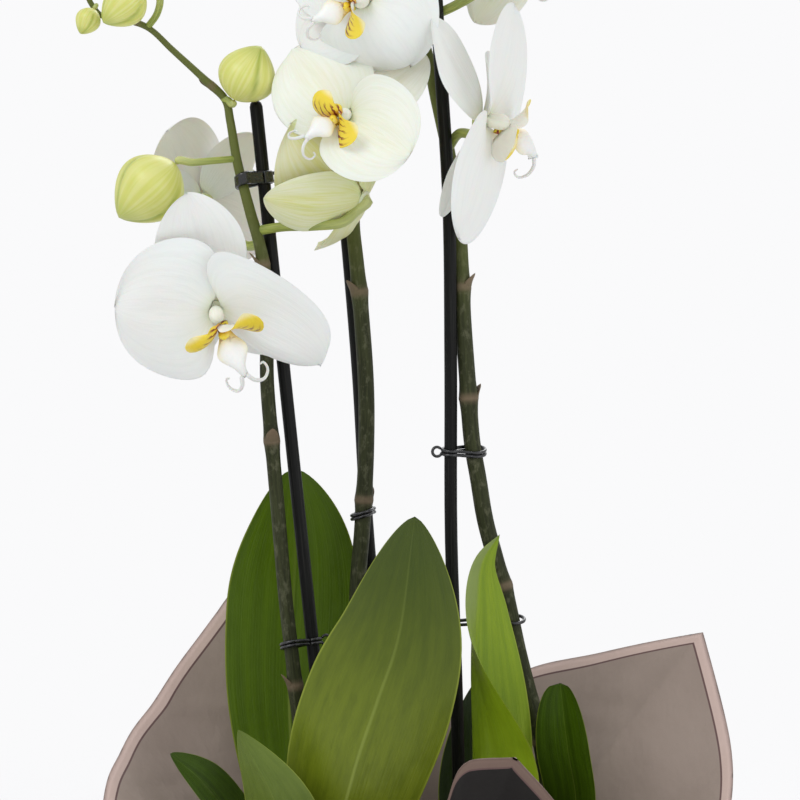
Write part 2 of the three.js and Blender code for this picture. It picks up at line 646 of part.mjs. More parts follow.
for (const [side, [x, y]] of Object.entries(CROWN_AT)) {
  const crown = mesh(`crown_${side}`, crownGeometry(), "crown");
  crown.position.set(x, y, 0);
  orchid.add(crown);
}
for (const [name, leaf] of Object.entries(LEAVES)) orchid.add(mesh(name, leafGeometry(leaf), "leaf"));
for (const key of Object.keys(SPIKES)) orchid.add(mesh(`spike_${key}`, spikeGeometry(key), "stem"));
for (const key of Object.keys(STAKES)) {
  orchid.add(mesh(`stake_${key}`, stakeRod(key, STAKE.radius), "stake"));
}
for (const [name, place] of Object.entries(CLIPS)) orchid.add(clip(name, place));
for (const [name, one] of Object.entries(BUDS)) orchid.add(bud(name, one));
for (const [name, one] of Object.entries(FLOWERS)) orchid.add(flower(name, one));

export default orchid;
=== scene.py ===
"""Looks of the potted moth orchid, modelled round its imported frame. Tables are in millimetres."""

import math
import random
from bisect import bisect_right

import bmesh
import bpy
from mathutils import Matrix, Vector


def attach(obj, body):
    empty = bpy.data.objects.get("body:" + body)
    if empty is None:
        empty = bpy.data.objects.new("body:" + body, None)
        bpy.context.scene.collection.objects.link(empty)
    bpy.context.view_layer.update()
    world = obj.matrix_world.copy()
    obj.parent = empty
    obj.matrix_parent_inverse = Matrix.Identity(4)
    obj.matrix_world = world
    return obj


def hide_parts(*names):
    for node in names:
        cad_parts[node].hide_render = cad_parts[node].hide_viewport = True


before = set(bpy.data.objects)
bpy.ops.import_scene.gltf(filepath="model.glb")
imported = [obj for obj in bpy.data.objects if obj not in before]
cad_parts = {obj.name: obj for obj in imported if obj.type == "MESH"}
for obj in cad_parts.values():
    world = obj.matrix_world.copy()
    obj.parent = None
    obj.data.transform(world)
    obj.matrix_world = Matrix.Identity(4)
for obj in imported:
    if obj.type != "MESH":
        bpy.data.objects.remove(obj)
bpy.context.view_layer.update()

bl_info = {
    "name": "Potted orchid",
    "version": (1, 0, 0),
    "blender": (4, 5, 0),
    "location": "View3D > Sidebar > Orchid",
    "description": "Models a potted moth orchid round its packed frame",
    "category": "Add Mesh",
}

MM = 0.001


# ---- Settings ----


def shade(*display):
    """A display colour, 0 to 255, as a linear colour."""
    parts = [part / 255 for part in display]
    return tuple(part / 12.92 if part <= 0.04 else ((part + 0.055) / 1.055) ** 2.4 for part in parts)


def colour(name, description, *display):
    return bpy.props.FloatVectorProperty(
        name=name, description=description, subtype="COLOR", size=3, min=0, max=1, default=shade(*display)
    )


def length(name, description, default):
    return bpy.props.FloatProperty(name=name, description=description, unit="LENGTH", default=default, min=0)


class OrchidColours(bpy.types.PropertyGroup):
    petal: colour("Petal", "Open petals and sepals", 248, 248, 245)
    vein: colour("Petal vein", "Fine veins in the petals", 224, 226, 223)
    flush: colour("Petal flush", "Young petals and the backs of sepals", 226, 227, 152)
    lobe: colour("Lip yellow", "Side lobes of the lip", 246, 220, 66)
    stripe: colour("Lip stripe", "Stripes in the throat", 132, 42, 36)
    bud: colour("Bud", "Closed buds", 214, 216, 114)
    bud_seam: colour("Bud seam", "Seams and tips of the buds", 156, 172, 62)
    leaf: colour("Leaf", "Upper face of a leaf", 78, 112, 20)
    leaf_dark: colour("Leaf shade", "Darker parts of a leaf", 50, 76, 12)
    leaf_under: colour("Leaf underside", "Lower face of a leaf", 112, 132, 60)
    stem: colour("Stem", "Flower spikes", 62, 66, 40)
    stem_scar: colour("Stem scar", "Rings and old bracts on the spikes", 126, 108, 88)
    stalk: colour("Flower stalk", "Stalks of the flowers", 164, 174, 82)
    crown: colour("Crown", "Old leaf sheaths at the foot of a plant", 122, 128, 78)
    bark: colour("Bark", "Bark chips", 104, 72, 48)
    bark_dark: colour("Bark shade", "Dark bark chips", 48, 32, 24)
    stake: colour("Stake", "Support stakes", 12, 12, 11)
    clip: colour("Clip", "Wire clips", 9, 9, 9)
    pot: colour("Pot", "Nursery pot", 60, 54, 50)
    paper: colour("Paper inside", "Inner face of the wrap", 158, 142, 132)
    # Painted shade: the wrap's outer face is painted nearly black.
    paper_out_shade: colour("Paper outside", "Outer face of the wrap", 20, 16, 14)
    border: colour("Paper border", "Printed border of the wrap", 204, 180, 171)
    floor: colour("Floor", "Studio floor", 246, 246, 247)


class OrchidSizes(bpy.types.PropertyGroup):
    petal: length("Petal thickness", "Thickness of petals and sepals", 0.0009)
    leaf: length("Leaf thickness", "Thickness of a leaf beside its midrib", 0.0017)
    paper: length("Paper thickness", "Thickness of the wrap", 0.0007)
    wire: length("Wire radius", "Radius of the clips' wire", 0.0008)
    border: length("Border width", "Width of the wrap's printed border", 0.0042)
    distance: length("Camera distance", "From the camera to the middle of the view", 1.6)


def colours():
    return bpy.context.scene.orchid_colours


def sizes():
    return bpy.context.scene.orchid_sizes


# ---- Curves ----


def curve_through(points, cuts):
    """Points along the centripetal curve that the CAD's curves follow."""
    known = [Vector(point) for point in points]
    known = [2 * known[0] - known[1], *known, 2 * known[-1] - known[-2]]
    spots = []
    for a, b, c, d in zip(known, known[1:], known[2:], known[3:]):
        before, span, after = [math.sqrt((q - p).length) for p, q in ((a, b), (b, c), (c, d))]
        leave = span * ((b - a) / before - (c - a) / (before + span) + (c - b) / span)
        reach = span * ((c - b) / span - (d - b) / (span + after) + (d - c) / after)
        for cut in range(cuts):
            u = cut / cuts
            spot = b * (1 + u * u * (2 * u - 3)) + c * (u * u * (3 - 2 * u))
            spots.append(spot + leave * (u * (1 - u) ** 2) - reach * (u * u * (1 - u)))
    return [*spots, known[-2]]


class Path:
    """A smooth curve walked by its length, with a steady way across it."""

    def __init__(self, points, cuts=14, across=None):
        self.spots = curve_through(points, cuts)
        self.far = [0.0]
        for near, on in zip(self.spots, self.spots[1:]):
            self.far.append(self.far[-1] + (on - near).length)
        self.length = self.far[-1]
        last = len(self.spots) - 1
        self.frames = []
        side = Vector(across) if across else None
        for k in range(last + 1):
            way = (self.spots[min(k + 1, last)] - self.spots[max(k - 1, 0)]).normalized()
            side = way.orthogonal() if side is None else side
            side = (side - way * side.dot(way)).normalized()
            self.frames.append((way, side, way.cross(side)))

    def at(self, share):
        """The point at a share of the length, the way on and the two ways across."""
        far = min(max(share, 0), 1) * self.length
        k = min(max(bisect_right(self.far, far) - 1, 0), len(self.far) - 2)
        u = (far - self.far[k]) / max(self.far[k + 1] - self.far[k], 1e-9)
        spot = self.spots[k].lerp(self.spots[k + 1], u)
        return [spot] + [a.lerp(b, u).normalized() for a, b in zip(self.frames[k], self.frames[k + 1])]

    def share_at(self, height):
        """The share of the length at which the curve first rises past a height."""
        k = next(k for k, spot in enumerate(self.spots) if spot.z >= height)
        return self.far[k] / self.length


def smooth(value, low, high):
    share = min(max((value - low) / (high - low), 0), 1)
    return share * share * (3 - 2 * share)


def bump_at(value, centre, width):
    return math.exp(-(((value - centre) / width) ** 2))


# ---- Shapes ----


def new_shape():
    """An empty mesh with the two marks that the finishes read: where on the piece, and how tinted."""
    shape = bmesh.new()
    shape.verts.layers.float_vector.new("place")
    shape.verts.layers.float.new("tint")
    return shape


def marks(shape):
    return shape.verts.layers.float_vector["place"], shape.verts.layers.float["tint"]


def add_part(shape, part, finish):
    """Adds a part to a shape, with one of the shape's finishes."""
    for face in part.faces:
        face.material_index = finish
    carrier = bpy.data.meshes.new("part")
    part.to_mesh(carrier)
    part.free()
    shape.from_mesh(carrier)
    bpy.data.meshes.remove(carrier)


def even(share):
    return share


def crowded(share):
    """Crowds the steps from 0 to 1, or from -1 to 1, towards the ends."""
    return math.sin(math.pi / 2 * share)


def plate(shape, middle, thickness, across, along, rim=4, ends=8, spacing=even, spread=even, tint=None,
          finish=0):
    """A thin plate whose two skins meet along its outline. middle(t, s) is the surface between them."""
    rows = [
        [Vector(middle(spacing(j / along), spread(2 * i / across - 1))) for i in range(across + 1)]
        for j in range(along + 1)
    ]
    part = new_shape()
    bmesh.ops.create_grid(part, x_segments=2 * across, y_segments=along, size=0.5)
    place, tinted = marks(part)
    steps = {}
    for vert in part.verts:
        column = round((vert.co.x + 0.5) * 2 * across)
        j = round((vert.co.y + 0.5) * along)
        i, side = (column, 1) if column <= across else (2 * across - column, -1)
        steps[vert] = i + j
        t, s = spacing(j / along), spread(2 * i / across - 1)
        near = min(max(j, 1), along - 1)
        ahead = rows[near + 1][i] - rows[near - 1][i]
        beside = rows[near][min(i + 1, across)] - rows[near][max(i - 1, 0)]
        thick = thickness(t, s) if callable(thickness) else thickness
        edge = max(0, (1 - abs(s) ** rim) * min(1, ends * t, ends * (1 - t)))
        vert.co = rows[j][i] + beside.cross(ahead).normalized() * (side * edge * thick / 2)
        vert[place] = (t, s, side if edge > 1e-6 else 0)
        vert[tinted] = tint(t, s) if tint else 0
    # Both skins are divided along the same diagonals, so that they can't pass through each other.
    for face in list(part.faces):
        bmesh.utils.face_split(face, min(face.verts, key=steps.get), max(face.verts, key=steps.get))
    bmesh.ops.remove_doubles(part, verts=part.verts, dist=1e-4)
    add_part(shape, part, finish)


def rod(shape, path, radius, sides, steps, tint=None, domed=True, finish=0):
    """A round rod along a path, with radius(share, turn); domed rods have rounded ends."""
    part = new_shape()
    bmesh.ops.create_cone(part, cap_ends=True, segments=sides, radius1=1, radius2=1, depth=1)
    uprights = [edge for edge in part.edges if abs(edge.verts[0].co.z - edge.verts[1].co.z) > 0.5]
    bmesh.ops.subdivide_edges(part, edges=uprights, cuts=steps - 1, use_grid_fill=True)
    place, tinted = marks(part)
    for vert in part.verts:
        share = vert.co.z + 0.5
        share = (1 - math.cos(math.pi * share)) / 2 if domed else share
        turn = math.atan2(vert.co.y, vert.co.x)
        spot, _, side, up = path.at(share)
        r = radius(share, turn) if callable(radius) else radius
        if domed:
            to_end = min(share, 1 - share) * path.length / r
            # The ends are rounded off to a small flat cap.
            r *= math.sqrt(max(0.03, 1 - max(0, 1 - to_end) ** 2))
        vert.co = spot + (side * math.cos(turn) + up * math.sin(turn)) * r
        vert[place] = (math.cos(turn), math.sin(turn), share * path.length)
        vert[tinted] = tint(share, turn) if tint else 0
    add_part(shape, part, finish)


def ball(shape, centre, radii, tint, finish=0):
    part = new_shape()
    bmesh.ops.create_uvsphere(part, u_segments=16, v_segments=10, radius=1)
    place, tinted = marks(part)
    for vert in part.verts:
        vert[place] = vert.co
        vert[tinted] = tint
    fit = Matrix.Translation(centre) @ Matrix.Diagonal((*radii, 1))
    bmesh.ops.transform(part, matrix=fit, verts=part.verts)
    add_part(shape, part, finish)


def settle(shape, name, slot, finishes, *nodes):
    """Makes a shape, in millimetres, a piece of the plant that stands for CAD nodes."""
    bmesh.ops.scale(shape, vec=(MM, MM, MM), verts=shape.verts)
    bmesh.ops.recalc_face_normals(shape, faces=shape.faces)
    for face in shape.faces:
        face.smooth = True
    mesh = bpy.data.meshes.new(name)
    shape.to_mesh(mesh)
    shape.free()
    for finish in finishes:
        mesh.materials.append(finish)
    piece = bpy.data.objects.new(name, mesh)
    bpy.context.collection.objects.link(piece)
    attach(piece, "root")
    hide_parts(*nodes)
    return piece


# ---- Finishes ----


class Finish:
    """One procedural material. Each method adds a node and gives its output."""

    def __init__(self, name, **sockets):
        self.material = bpy.data.materials.new(name)
        self.material.use_nodes = True
        self.nodes = self.material.node_tree.nodes
        self.links = self.material.node_tree.links
        self.shader = self.nodes["Principled BSDF"]
        for socket, value in sockets.items():
            self.feed(self.shader.inputs[socket.replace("_", " ")], value)

    def feed(self, socket, value):
        if isinstance(value, bpy.types.NodeSocket):
            self.links.new(value, socket)
        elif socket.type == "RGBA":
            socket.default_value = (*value[:3], 1)
        else:
            socket.default_value = value

    def add(self, kind, inputs, **settings):
        node = self.nodes.new(kind)
        for key, value in settings.items():
            setattr(node, key, value)
        for key, value in inputs.items():
            self.feed(node.inputs[key], value)
        return node

    def mark(self, name, output):
        return self.add("ShaderNodeAttribute", {}, attribute_name=name).outputs[output]

    def place(self):
        """The three values that say where on its piece a point lies."""
        return self.add("ShaderNodeSeparateXYZ", {0: self.mark("place", "Vector")}).outputs

    def tint(self):
        return self.mark("tint", "Fac")

    def here(self, *stretch):
        vector = self.nodes.new("ShaderNodeTexCoord").outputs["Object"]
        return self.stretched(vector, *stretch) if stretch else vector

    def stretched(self, vector, *stretch):
        return self.add("ShaderNodeMapping", {"Vector": vector, "Scale": stretch}).outputs[0]

    def noise(self, vector, scale, detail=2.0, rough=0.5):
        inputs = {"Vector": vector, "Scale": scale, "Detail": detail, "Roughness": rough}
        return self.add("ShaderNodeTexNoise", inputs).outputs[0]

    def drawn(self, stretch, *how):
        """Noise that follows a piece: read by its place, stretched."""
        return self.noise(self.stretched(self.mark("place", "Vector"), *stretch), *how)

    def math(self, operation, a, b=0.0):
        return self.add("ShaderNodeMath", {0: a, 1: b}, operation=operation).outputs[0]

    def times(self, a, b):
        return self.math("MULTIPLY", a, b)

    def between(self, value, low, high, to_low=0.0, to_high=1.0):
        """Eases from to_low to to_high while a value goes from low to high."""
        inputs = {0: value, 1: low, 2: high, 3: to_low, 4: to_high}
        return self.add("ShaderNodeMapRange", inputs, interpolation_type="SMOOTHSTEP").outputs[0]

    def blend(self, factor, a, b):
        return self.add("ShaderNodeMix", {0: factor, 6: a, 7: b}, data_type="RGBA").outputs[2]

    def fade(self, a, b, value, low, high, least=0.0, most=1.0):
        """Turns colour a to b, by least to most, while a value goes from low to high."""
        return self.blend(self.between(value, low, high, least, most), a, b)

    def bump(self, *heights):
        """heights are pairs of a height and its size in metres."""
        normal = None
        for height, distance in heights:
            inputs = {"Height": height, "Distance": distance, "Strength": 1.0}
            if normal:
                inputs["Normal"] = normal
            normal = self.add("ShaderNodeBump", inputs).outputs[0]
        self.feed(self.shader.inputs["Normal"], normal)

    def paint(self, colour, roughness):
        self.feed(self.shader.inputs["Base Color"], colour)
        self.feed(self.shader.inputs["Roughness"], roughness)
        return self.material


def petal_finish():
    """White and satin, with veins that fan out from the base and a flush where tinted."""
    finish = Finish("petal_white", Subsurface_Weight=0.15, Subsurface_Scale=0.003, Specular_IOR_Level=0.35)
    veins = finish.drawn((2.2, 15, 0), 1, 3, 0.6)
    fine = finish.drawn((5, 46, 0), 1, 2, 0.5)
    lines = finish.between(veins, 0.44, 0.66)
    cloud = finish.noise(finish.here(), 45, 2)
    white = finish.blend(finish.times(lines, 0.15), colours().petal, colours().vein)
    white = finish.blend(finish.times(cloud, 0.15), white, shade(232, 234, 228))
    streaks = finish.between(veins, 0.36, 0.64, 0.68, 1.0)
    tinted = finish.times(finish.tint(), streaks)
    finish.bump((veins, 0.0002), (fine, 0.00008), (finish.noise(finish.here(), 900), 0.00004))
    flushed = finish.blend(tinted, white, colours().flush)
    return finish.paint(flushed, finish.between(cloud, 0.3, 0.7, 0.42, 0.55))


def lobe_finish():
    """The lip's side lobes: white outside, yellow inside with dark red stripes near the base."""
    finish = Finish("lip_lobe", Subsurface_Weight=0.1, Subsurface_Scale=0.002)
    along, across, side = finish.place()
    wander = finish.drawn((3, 3, 0), 1.5)
    bent = finish.math("ADD", across, finish.times(wander, 0.35))
    waves = finish.math("SINE", finish.times(bent, 17))
    inner = finish.between(along, 0.4, 0.72, 1, 0)
    stripes = finish.times(finish.between(waves, 0.45, 0.85), inner)
    throat = finish.fade(shade(232, 164, 60), colours().lobe, along, 0.05, 0.4)
    yellow = finish.fade(throat, shade(250, 240, 190), along, 0.8, 1.0)
    inside = finish.blend(stripes, yellow, colours().stripe)
    outside = finish.fade(colours().petal, colours().lobe, along, 0.55, 0.95, 0.1, 0.6)
    finish.bump((wander, 0.0003))
    return finish.paint(finish.fade(inside, outside, side, -0.4, 0.4), 0.4)


def tongue_finish():
    """The lip's middle lobe: white, with a yellow foot that is spotted red."""
    finish = Finish("lip_tongue", Subsurface_Weight=0.1, Subsurface_Scale=0.002)
    along, _, _ = finish.place()
    spots = finish.noise(finish.here(), 420, 1)
    foot = finish.between(along, 0.15, 0.5, 1, 0)
    dots = finish.times(finish.between(spots, 0.56, 0.62), foot)
    ground = finish.blend(foot, colours().petal, colours().lobe)
    ground = finish.blend(finish.tint(), ground, colours().lobe)
    finish.bump((spots, 0.0003))
    return finish.paint(finish.blend(dots, ground, colours().stripe), 0.4)


def bud_finish():
    """Yellow green with fine pale ribs, and darker along the seams."""
    finish = Finish("bud_green", Subsurface_Weight=0.1, Subsurface_Scale=0.003)
    _, _, along = finish.place()
    ribs = finish.drawn((7, 7, 0.8), 1, 2, 0.5)
    pale = finish.fade(colours().bud, shade(236, 234, 172), ribs, 0.4, 0.66, 0.0, 0.4)
    tip = finish.between(along, 0.72, 1.0)
    green = finish.blend(finish.times(tip, 0.5), pale, colours().bud_seam)
    finish.bump((ribs, 0.00015), (finish.noise(finish.here(), 700), 0.00005))
    return finish.paint(finish.blend(finish.tint(), green, colours().bud_seam), 0.38)


def leaf_finish(name, upper, dark, under, shaded=0.0):
    """Satin green, blotched and finely veined, with a pale midrib and a painted highlight along the rim;
    paler beneath. Painted shade darkens it towards the tip by shaded, and a painted sheen pales it where
    tinted."""
    finish = Finish(name, Specular_IOR_Level=0.28, Coat_Weight=0.08, Coat_Roughness=0.3)
    along, across, side = finish.place()
    veins = finish.drawn((1.6, 30, 0), 1, 3, 0.65)
    bands = finish.drawn((1.2, 5, 0), 1.3, 2)
    patches = finish.noise(finish.here(), 26, 3)
    mottle = finish.drawn((6, 4, 0), 2, 5, 0.65)
    green = finish.fade(dark, upper, bands, 0.35, 0.66, 0.6, 1.0)
    green = finish.fade(green, under, veins, 0.42, 0.66, 0.0, 0.1)
    below = finish.fade(under, upper, veins, 0.4, 0.62, 0.0, 0.12)
    below = finish.fade(below, upper, bands, 0.4, 0.7, 0.0, 0.3)
    both = finish.fade(below, green, side, -0.4, 0.4)
    both = finish.fade(both, dark, mottle, 0.4, 0.68, 0.0, 0.22)
    # Painted shade: darker towards the tip, by shaded.
    both = finish.fade(both, dark, along, 0.4, 0.95, 0.0, shaded)
    # Painted sheen: where tinted, high on a folded leaf, a pale grey green stands for reflected light.
    both = finish.blend(finish.tint(), both, shade(136, 152, 88))
    off = finish.math("ABSOLUTE", across)
    rib = finish.between(off, 0.004, 0.035, 1, 0)
    rib = finish.times(rib, finish.between(along, 0.3, 0.9, 0.5, 0.08))
    both = finish.blend(rib, both, shade(160, 174, 84))
    # Painted highlight: a pale yellow-green band along the leaf's rim.
    both = finish.fade(both, shade(158, 170, 62), off, 0.965, 0.995, 0.0, 0.6)
    finish.bump((veins, 0.00025), (patches, 0.0012), (finish.noise(finish.here(), 1100), 0.00005))
    return finish.paint(both, finish.between(patches, 0.3, 0.7, 0.3, 0.44))


def stem_finish():
    """Olive green, streaked and mottled, fresher high up, with brown rings and bracts where tinted."""
    finish = Finish("stem_olive", Specular_IOR_Level=0.15)
    streaks = finish.drawn((3.2, 3.2, 0.05), 1, 4, 0.65)
    mottle = finish.noise(finish.here(1, 1, 0.6), 320, 4, 0.7)
    green = finish.fade(shade(42, 45, 27), colours().stem, streaks, 0.3, 0.7)
    green = finish.fade(green, shade(100, 100, 78), mottle, 0.5, 0.68, 0.0, 0.6)
    height = finish.add("ShaderNodeSeparateXYZ", {0: finish.here()}).outputs[2]
    fresh = finish.between(height, 0.39, 0.47)
    green = finish.blend(finish.times(fresh, 0.7), green, shade(118, 126, 66))
    finish.bump((streaks, 0.0004), (mottle, 0.00025))
    return finish.paint(finish.blend(finish.tint(), green, colours().stem_scar), 0.5)


def stalk_finish():
    finish = Finish("stalk_green", Subsurface_Weight=0.05, Subsurface_Scale=0.002)
    streaks = finish.drawn((2, 2, 0.08), 1, 3, 0.6)
    green = finish.fade(shade(128, 142, 60), colours().stalk, streaks, 0.35, 0.65)
    finish.bump((streaks, 0.0003))
    return finish.paint(finish.blend(finish.tint(), green, shade(212, 216, 150)), 0.42)


def stake_finish():
    """Black, with faint streaks drawn out along the stake."""
    finish = Finish("stake_black", Specular_IOR_Level=0.18)
    streaks = finish.drawn((4, 4, 0.012), 1, 4, 0.7)
    grey = finish.fade(colours().stake, shade(44, 44, 41), streaks, 0.52, 0.72)
    finish.bump((streaks, 0.0003))
    return finish.paint(grey, finish.between(streaks, 0.4, 0.7, 0.3, 0.5))


def clip_finish():
    finish = Finish("clip_black", Coat_Weight=0.5, Coat_Roughness=0.15)
    wear = finish.noise(finish.here(), 350, 3)
    finish.bump((wear, 0.00005))
    black = finish.blend(wear, colours().clip, shade(40, 40, 43))
    return finish.paint(black, finish.between(wear, 0.3, 0.7, 0.22, 0.36))


def pot_finish():
    finish = Finish("pot_plastic", Specular_IOR_Level=0.45)
    lines = finish.noise(finish.here(0.2, 0.2, 6), 300, 2)
    dust = finish.noise(finish.here(), 55, 4, 0.7)
    grey = finish.fade(colours().pot, shade(108, 98, 88), dust, 0.5, 0.75, 0.0, 0.5)
    finish.bump((lines, 0.00008))
    return finish.paint(grey, finish.between(dust, 0.3, 0.7, 0.35, 0.6))


def bark_finish():
    finish = Finish("bark_chips")
    layers = finish.noise(finish.here(1, 1, 4), 90, 4, 0.7)
    grain = finish.noise(finish.here(), 420, 4, 0.7)
    brown = finish.fade(colours().bark_dark, colours().bark, layers, 0.35, 0.65)
    brown = finish.blend(finish.tint(), brown, shade(140, 104, 72))
    brown = finish.fade(brown, shade(36, 24, 18), grain, 0.5, 0.75, 0.0, 0.6)
    finish.bump((layers, 0.0015), (grain, 0.0006))
    return finish.paint(brown, 0.9)


def crown_finish():
    finish = Finish("crown_sheath")
    fibres = finish.noise(finish.here(3, 3, 0.3), 160, 4, 0.65)
    green = finish.fade(shade(88, 92, 46), colours().crown, fibres, 0.36, 0.66)
    green = finish.blend(finish.tint(), green, shade(132, 108, 74))
    finish.bump((fibres, 0.0006))
    return finish.paint(green, 0.6)


def paper_finish():
    """Matte paper, printed taupe, with a thin line and a pale border. Painted shade makes the outer face
    nearly black and its border darker.
    """
    finish = Finish("wrap_paper", Specular_IOR_Level=0.3)
    along, across, side = finish.place()
    down = finish.math("SUBTRACT", finish.times(along, 2), 1)
    from_edge = finish.math("MAXIMUM", finish.math("ABSOLUTE", across), finish.math("ABSOLUTE", down))
    fibres = finish.noise(finish.here(), 1400, 3, 0.6)
    cloud = finish.noise(finish.here(), 22, 3)
    crease = finish.noise(finish.here(1, 1, 0.5), 60, 3, 0.6)
    width = sizes().border / (SHEET * MM)
    inner = finish.fade(colours().paper, shade(138, 123, 114), cloud, 0.35, 0.7, 0.0, 0.4)
    inside = finish.between(side, -0.3, 0.3)
    # Painted shade: the outer face takes the nearly black paper_out_shade.
    ground = finish.blend(inside, colours().paper_out_shade, inner)
    line = finish.fade(ground, shade(104, 80, 78), from_edge, 1 - 1.22 * width, 1 - 1.18 * width)
    # Painted shade: the border is darker on the outer face.
    edging = finish.blend(inside, shade(122, 100, 90), colours().border)
    printed = finish.fade(line, edging, from_edge, 1 - 1.05 * width, 1 - width)
    printed = finish.blend(finish.times(fibres, 0.1), printed, shade(60, 52, 48))
    finish.bump((crease, 0.0012), (fibres, 0.00004))
    return finish.paint(printed, finish.between(cloud, 0.3, 0.7, 0.62, 0.75))


# ---- Wrap ----

SHEET = 215  # half the width of the square sheet
CORNERS = (16, 125, 207, 295, 376)  # azimuths at which the sheet's corners stand
# The paper's outer edge: azimuth, distance from the pot's axis, height.
WRAP_EDGE = [
    (4, 147, 200), (16, 141, 253), (34, 107.5, 240), (53, 94, 230), (77, 88, 212), (100, 97, 240),
    (125, 116, 287), (140, 119, 257), (158, 126, 223), (176, 132, 203), (190, 139, 190), (207, 150, 160),
    (228, 118, 152), (255, 92, 160), (273, 93, 178), (278.5, 96, 196), (281.5, 98, 213), (285, 100, 219),
    (295, 106.5, 220), (303, 109, 203), (312, 107, 184), (330, 116, 168), (348, 140, 168), (364, 147, 200),
    (376, 141, 253),
]
# Radius of the flat foot, radius of the neck, and the heights where the neck is reached and left.
FOOT_R, NECK_R, NECK_Z, BRIM_Z = 45, 61.2, 103, 113
TO_MIDDLE = 0.4  # from the CAD wrap's outer face to the middle of its paper
FLARE_STEPS, FLARE_SAG = 8, 0.22  # steps of the collar's curve, and how far it sags
PLEATS, PLEAT_DEPTH = 24, 8.4  # gathers round the pot
# Soft creases in the collar: azimuth, height, breadth in degrees, depth.
CREASES = [
    (34, 205, 9, 1.6), (28, 192, 12, -1.4), (20, 218, 8, 1.2), (168, 186, 12, 1.5), (150, 216, 9, -1.3),
]


def wrap_edge(azimuth):
    """Distance from the axis and height of the paper's edge, smooth between its corners."""
    first = max(k for k, row in enumerate(WRAP_EDGE) if row[0] <= azimuth)
    first = min(first, len(WRAP_EDGE) - 2)
    rows = [WRAP_EDGE[first], WRAP_EDGE[first + 1]]
    before = WRAP_EDGE[first - 1] if rows[0][0] not in CORNERS and first else rows[0]
    after = WRAP_EDGE[first + 2] if rows[1][0] not in CORNERS and first + 2 < len(WRAP_EDGE) else rows[1]
    u = (azimuth - rows[0][0]) / (rows[1][0] - rows[0][0])
    values = []
    for k in (1, 2):
        start = (rows[1][k] - before[k]) / 2 if before is not rows[0] else rows[1][k] - rows[0][k]
        stop = (after[k] - rows[0][k]) / 2 if after is not rows[1] else rows[1][k] - rows[0][k]
        value = rows[0][k] * (1 + u * u * (2 * u - 3)) + rows[1][k] * u * u * (3 - 2 * u)
        values.append(value + start * u * (1 - u) ** 2 - stop * u * u * (1 - u))
    return values


def wrap_point(t, s):
    """Where a point of the square sheet lies: flat under the pot, up its wall, then flaring."""
    x, y = s, 2 * t - 1
    out = max(abs(x), abs(y), 1e-6)
    quarter = math.floor((math.degrees(math.atan2(y, x)) - 45) / 90) % 4
    spin = math.radians(-90 * quarter)
    turned = (x * math.cos(spin) - y * math.sin(spin)) / out
    share = min(max((1 - turned) / 2, 0), 1)
    azimuth = CORNERS[quarter] + share * (CORNERS[quarter + 1] - CORNERS[quarter])
    edge_r, edge_z = wrap_edge(azimuth)
    line = [(0, TO_MIDDLE), (FOOT_R, TO_MIDDLE), (FOOT_R + 2.5, 3)]
    line += [(NECK_R + TO_MIDDLE, NECK_Z), (NECK_R + TO_MIDDLE, BRIM_Z)]
    for k in range(1, FLARE_STEPS + 1):
        up = k / FLARE_STEPS
        outward = up - FLARE_SAG * math.sin(math.pi * up)
        line.append((NECK_R + outward * (edge_r - NECK_R), BRIM_Z + (edge_z - BRIM_Z) * up))
    spans = [math.dist(a, b) for a, b in zip(line, line[1:])]
    far = out * sum(spans)
    k = 0
    while k < len(spans) - 1 and far > spans[k]:
        far -= spans[k]
        k += 1
    u = min(far / spans[k], 1)
    r = line[k][0] + u * (line[k + 1][0] - line[k][0])
    z = line[k][1] + u * (line[k + 1][1] - line[k][1])
    a = math.radians(azimuth)
    # Gathers run up the pot's wall and fade out in the collar.
    gather = smooth(r, 44, 56) * (1 - 0.95 * smooth(z, 118, 180))
    pleats = math.sin(PLEATS * a + 0.6 * math.sin(3 * a))
    r += PLEAT_DEPTH * gather * (1 + pleats) / 2 * smooth(z, 1, 12)
    # Slow waves in the collar are weaker along its edge.
    slack = smooth(z, 115, 150) * (1 - 0.8 * smooth(out, 0.9, 1))
    r += slack * (1.3 * math.sin(7 * a + 0.03 * z) + 0.8 * math.sin(13 * a - 0.06 * z))
    for at, height, wide, deep in CREASES:
        r += deep * bump_at(azimuth, at, wide) * bump_at(z, height, 4)
    return r * math.cos(a), r * math.sin(a), z


# ---- Leaves ----

FOLD_TURN = math.radians(110)  # how far the half of a fully folded leaf turns over
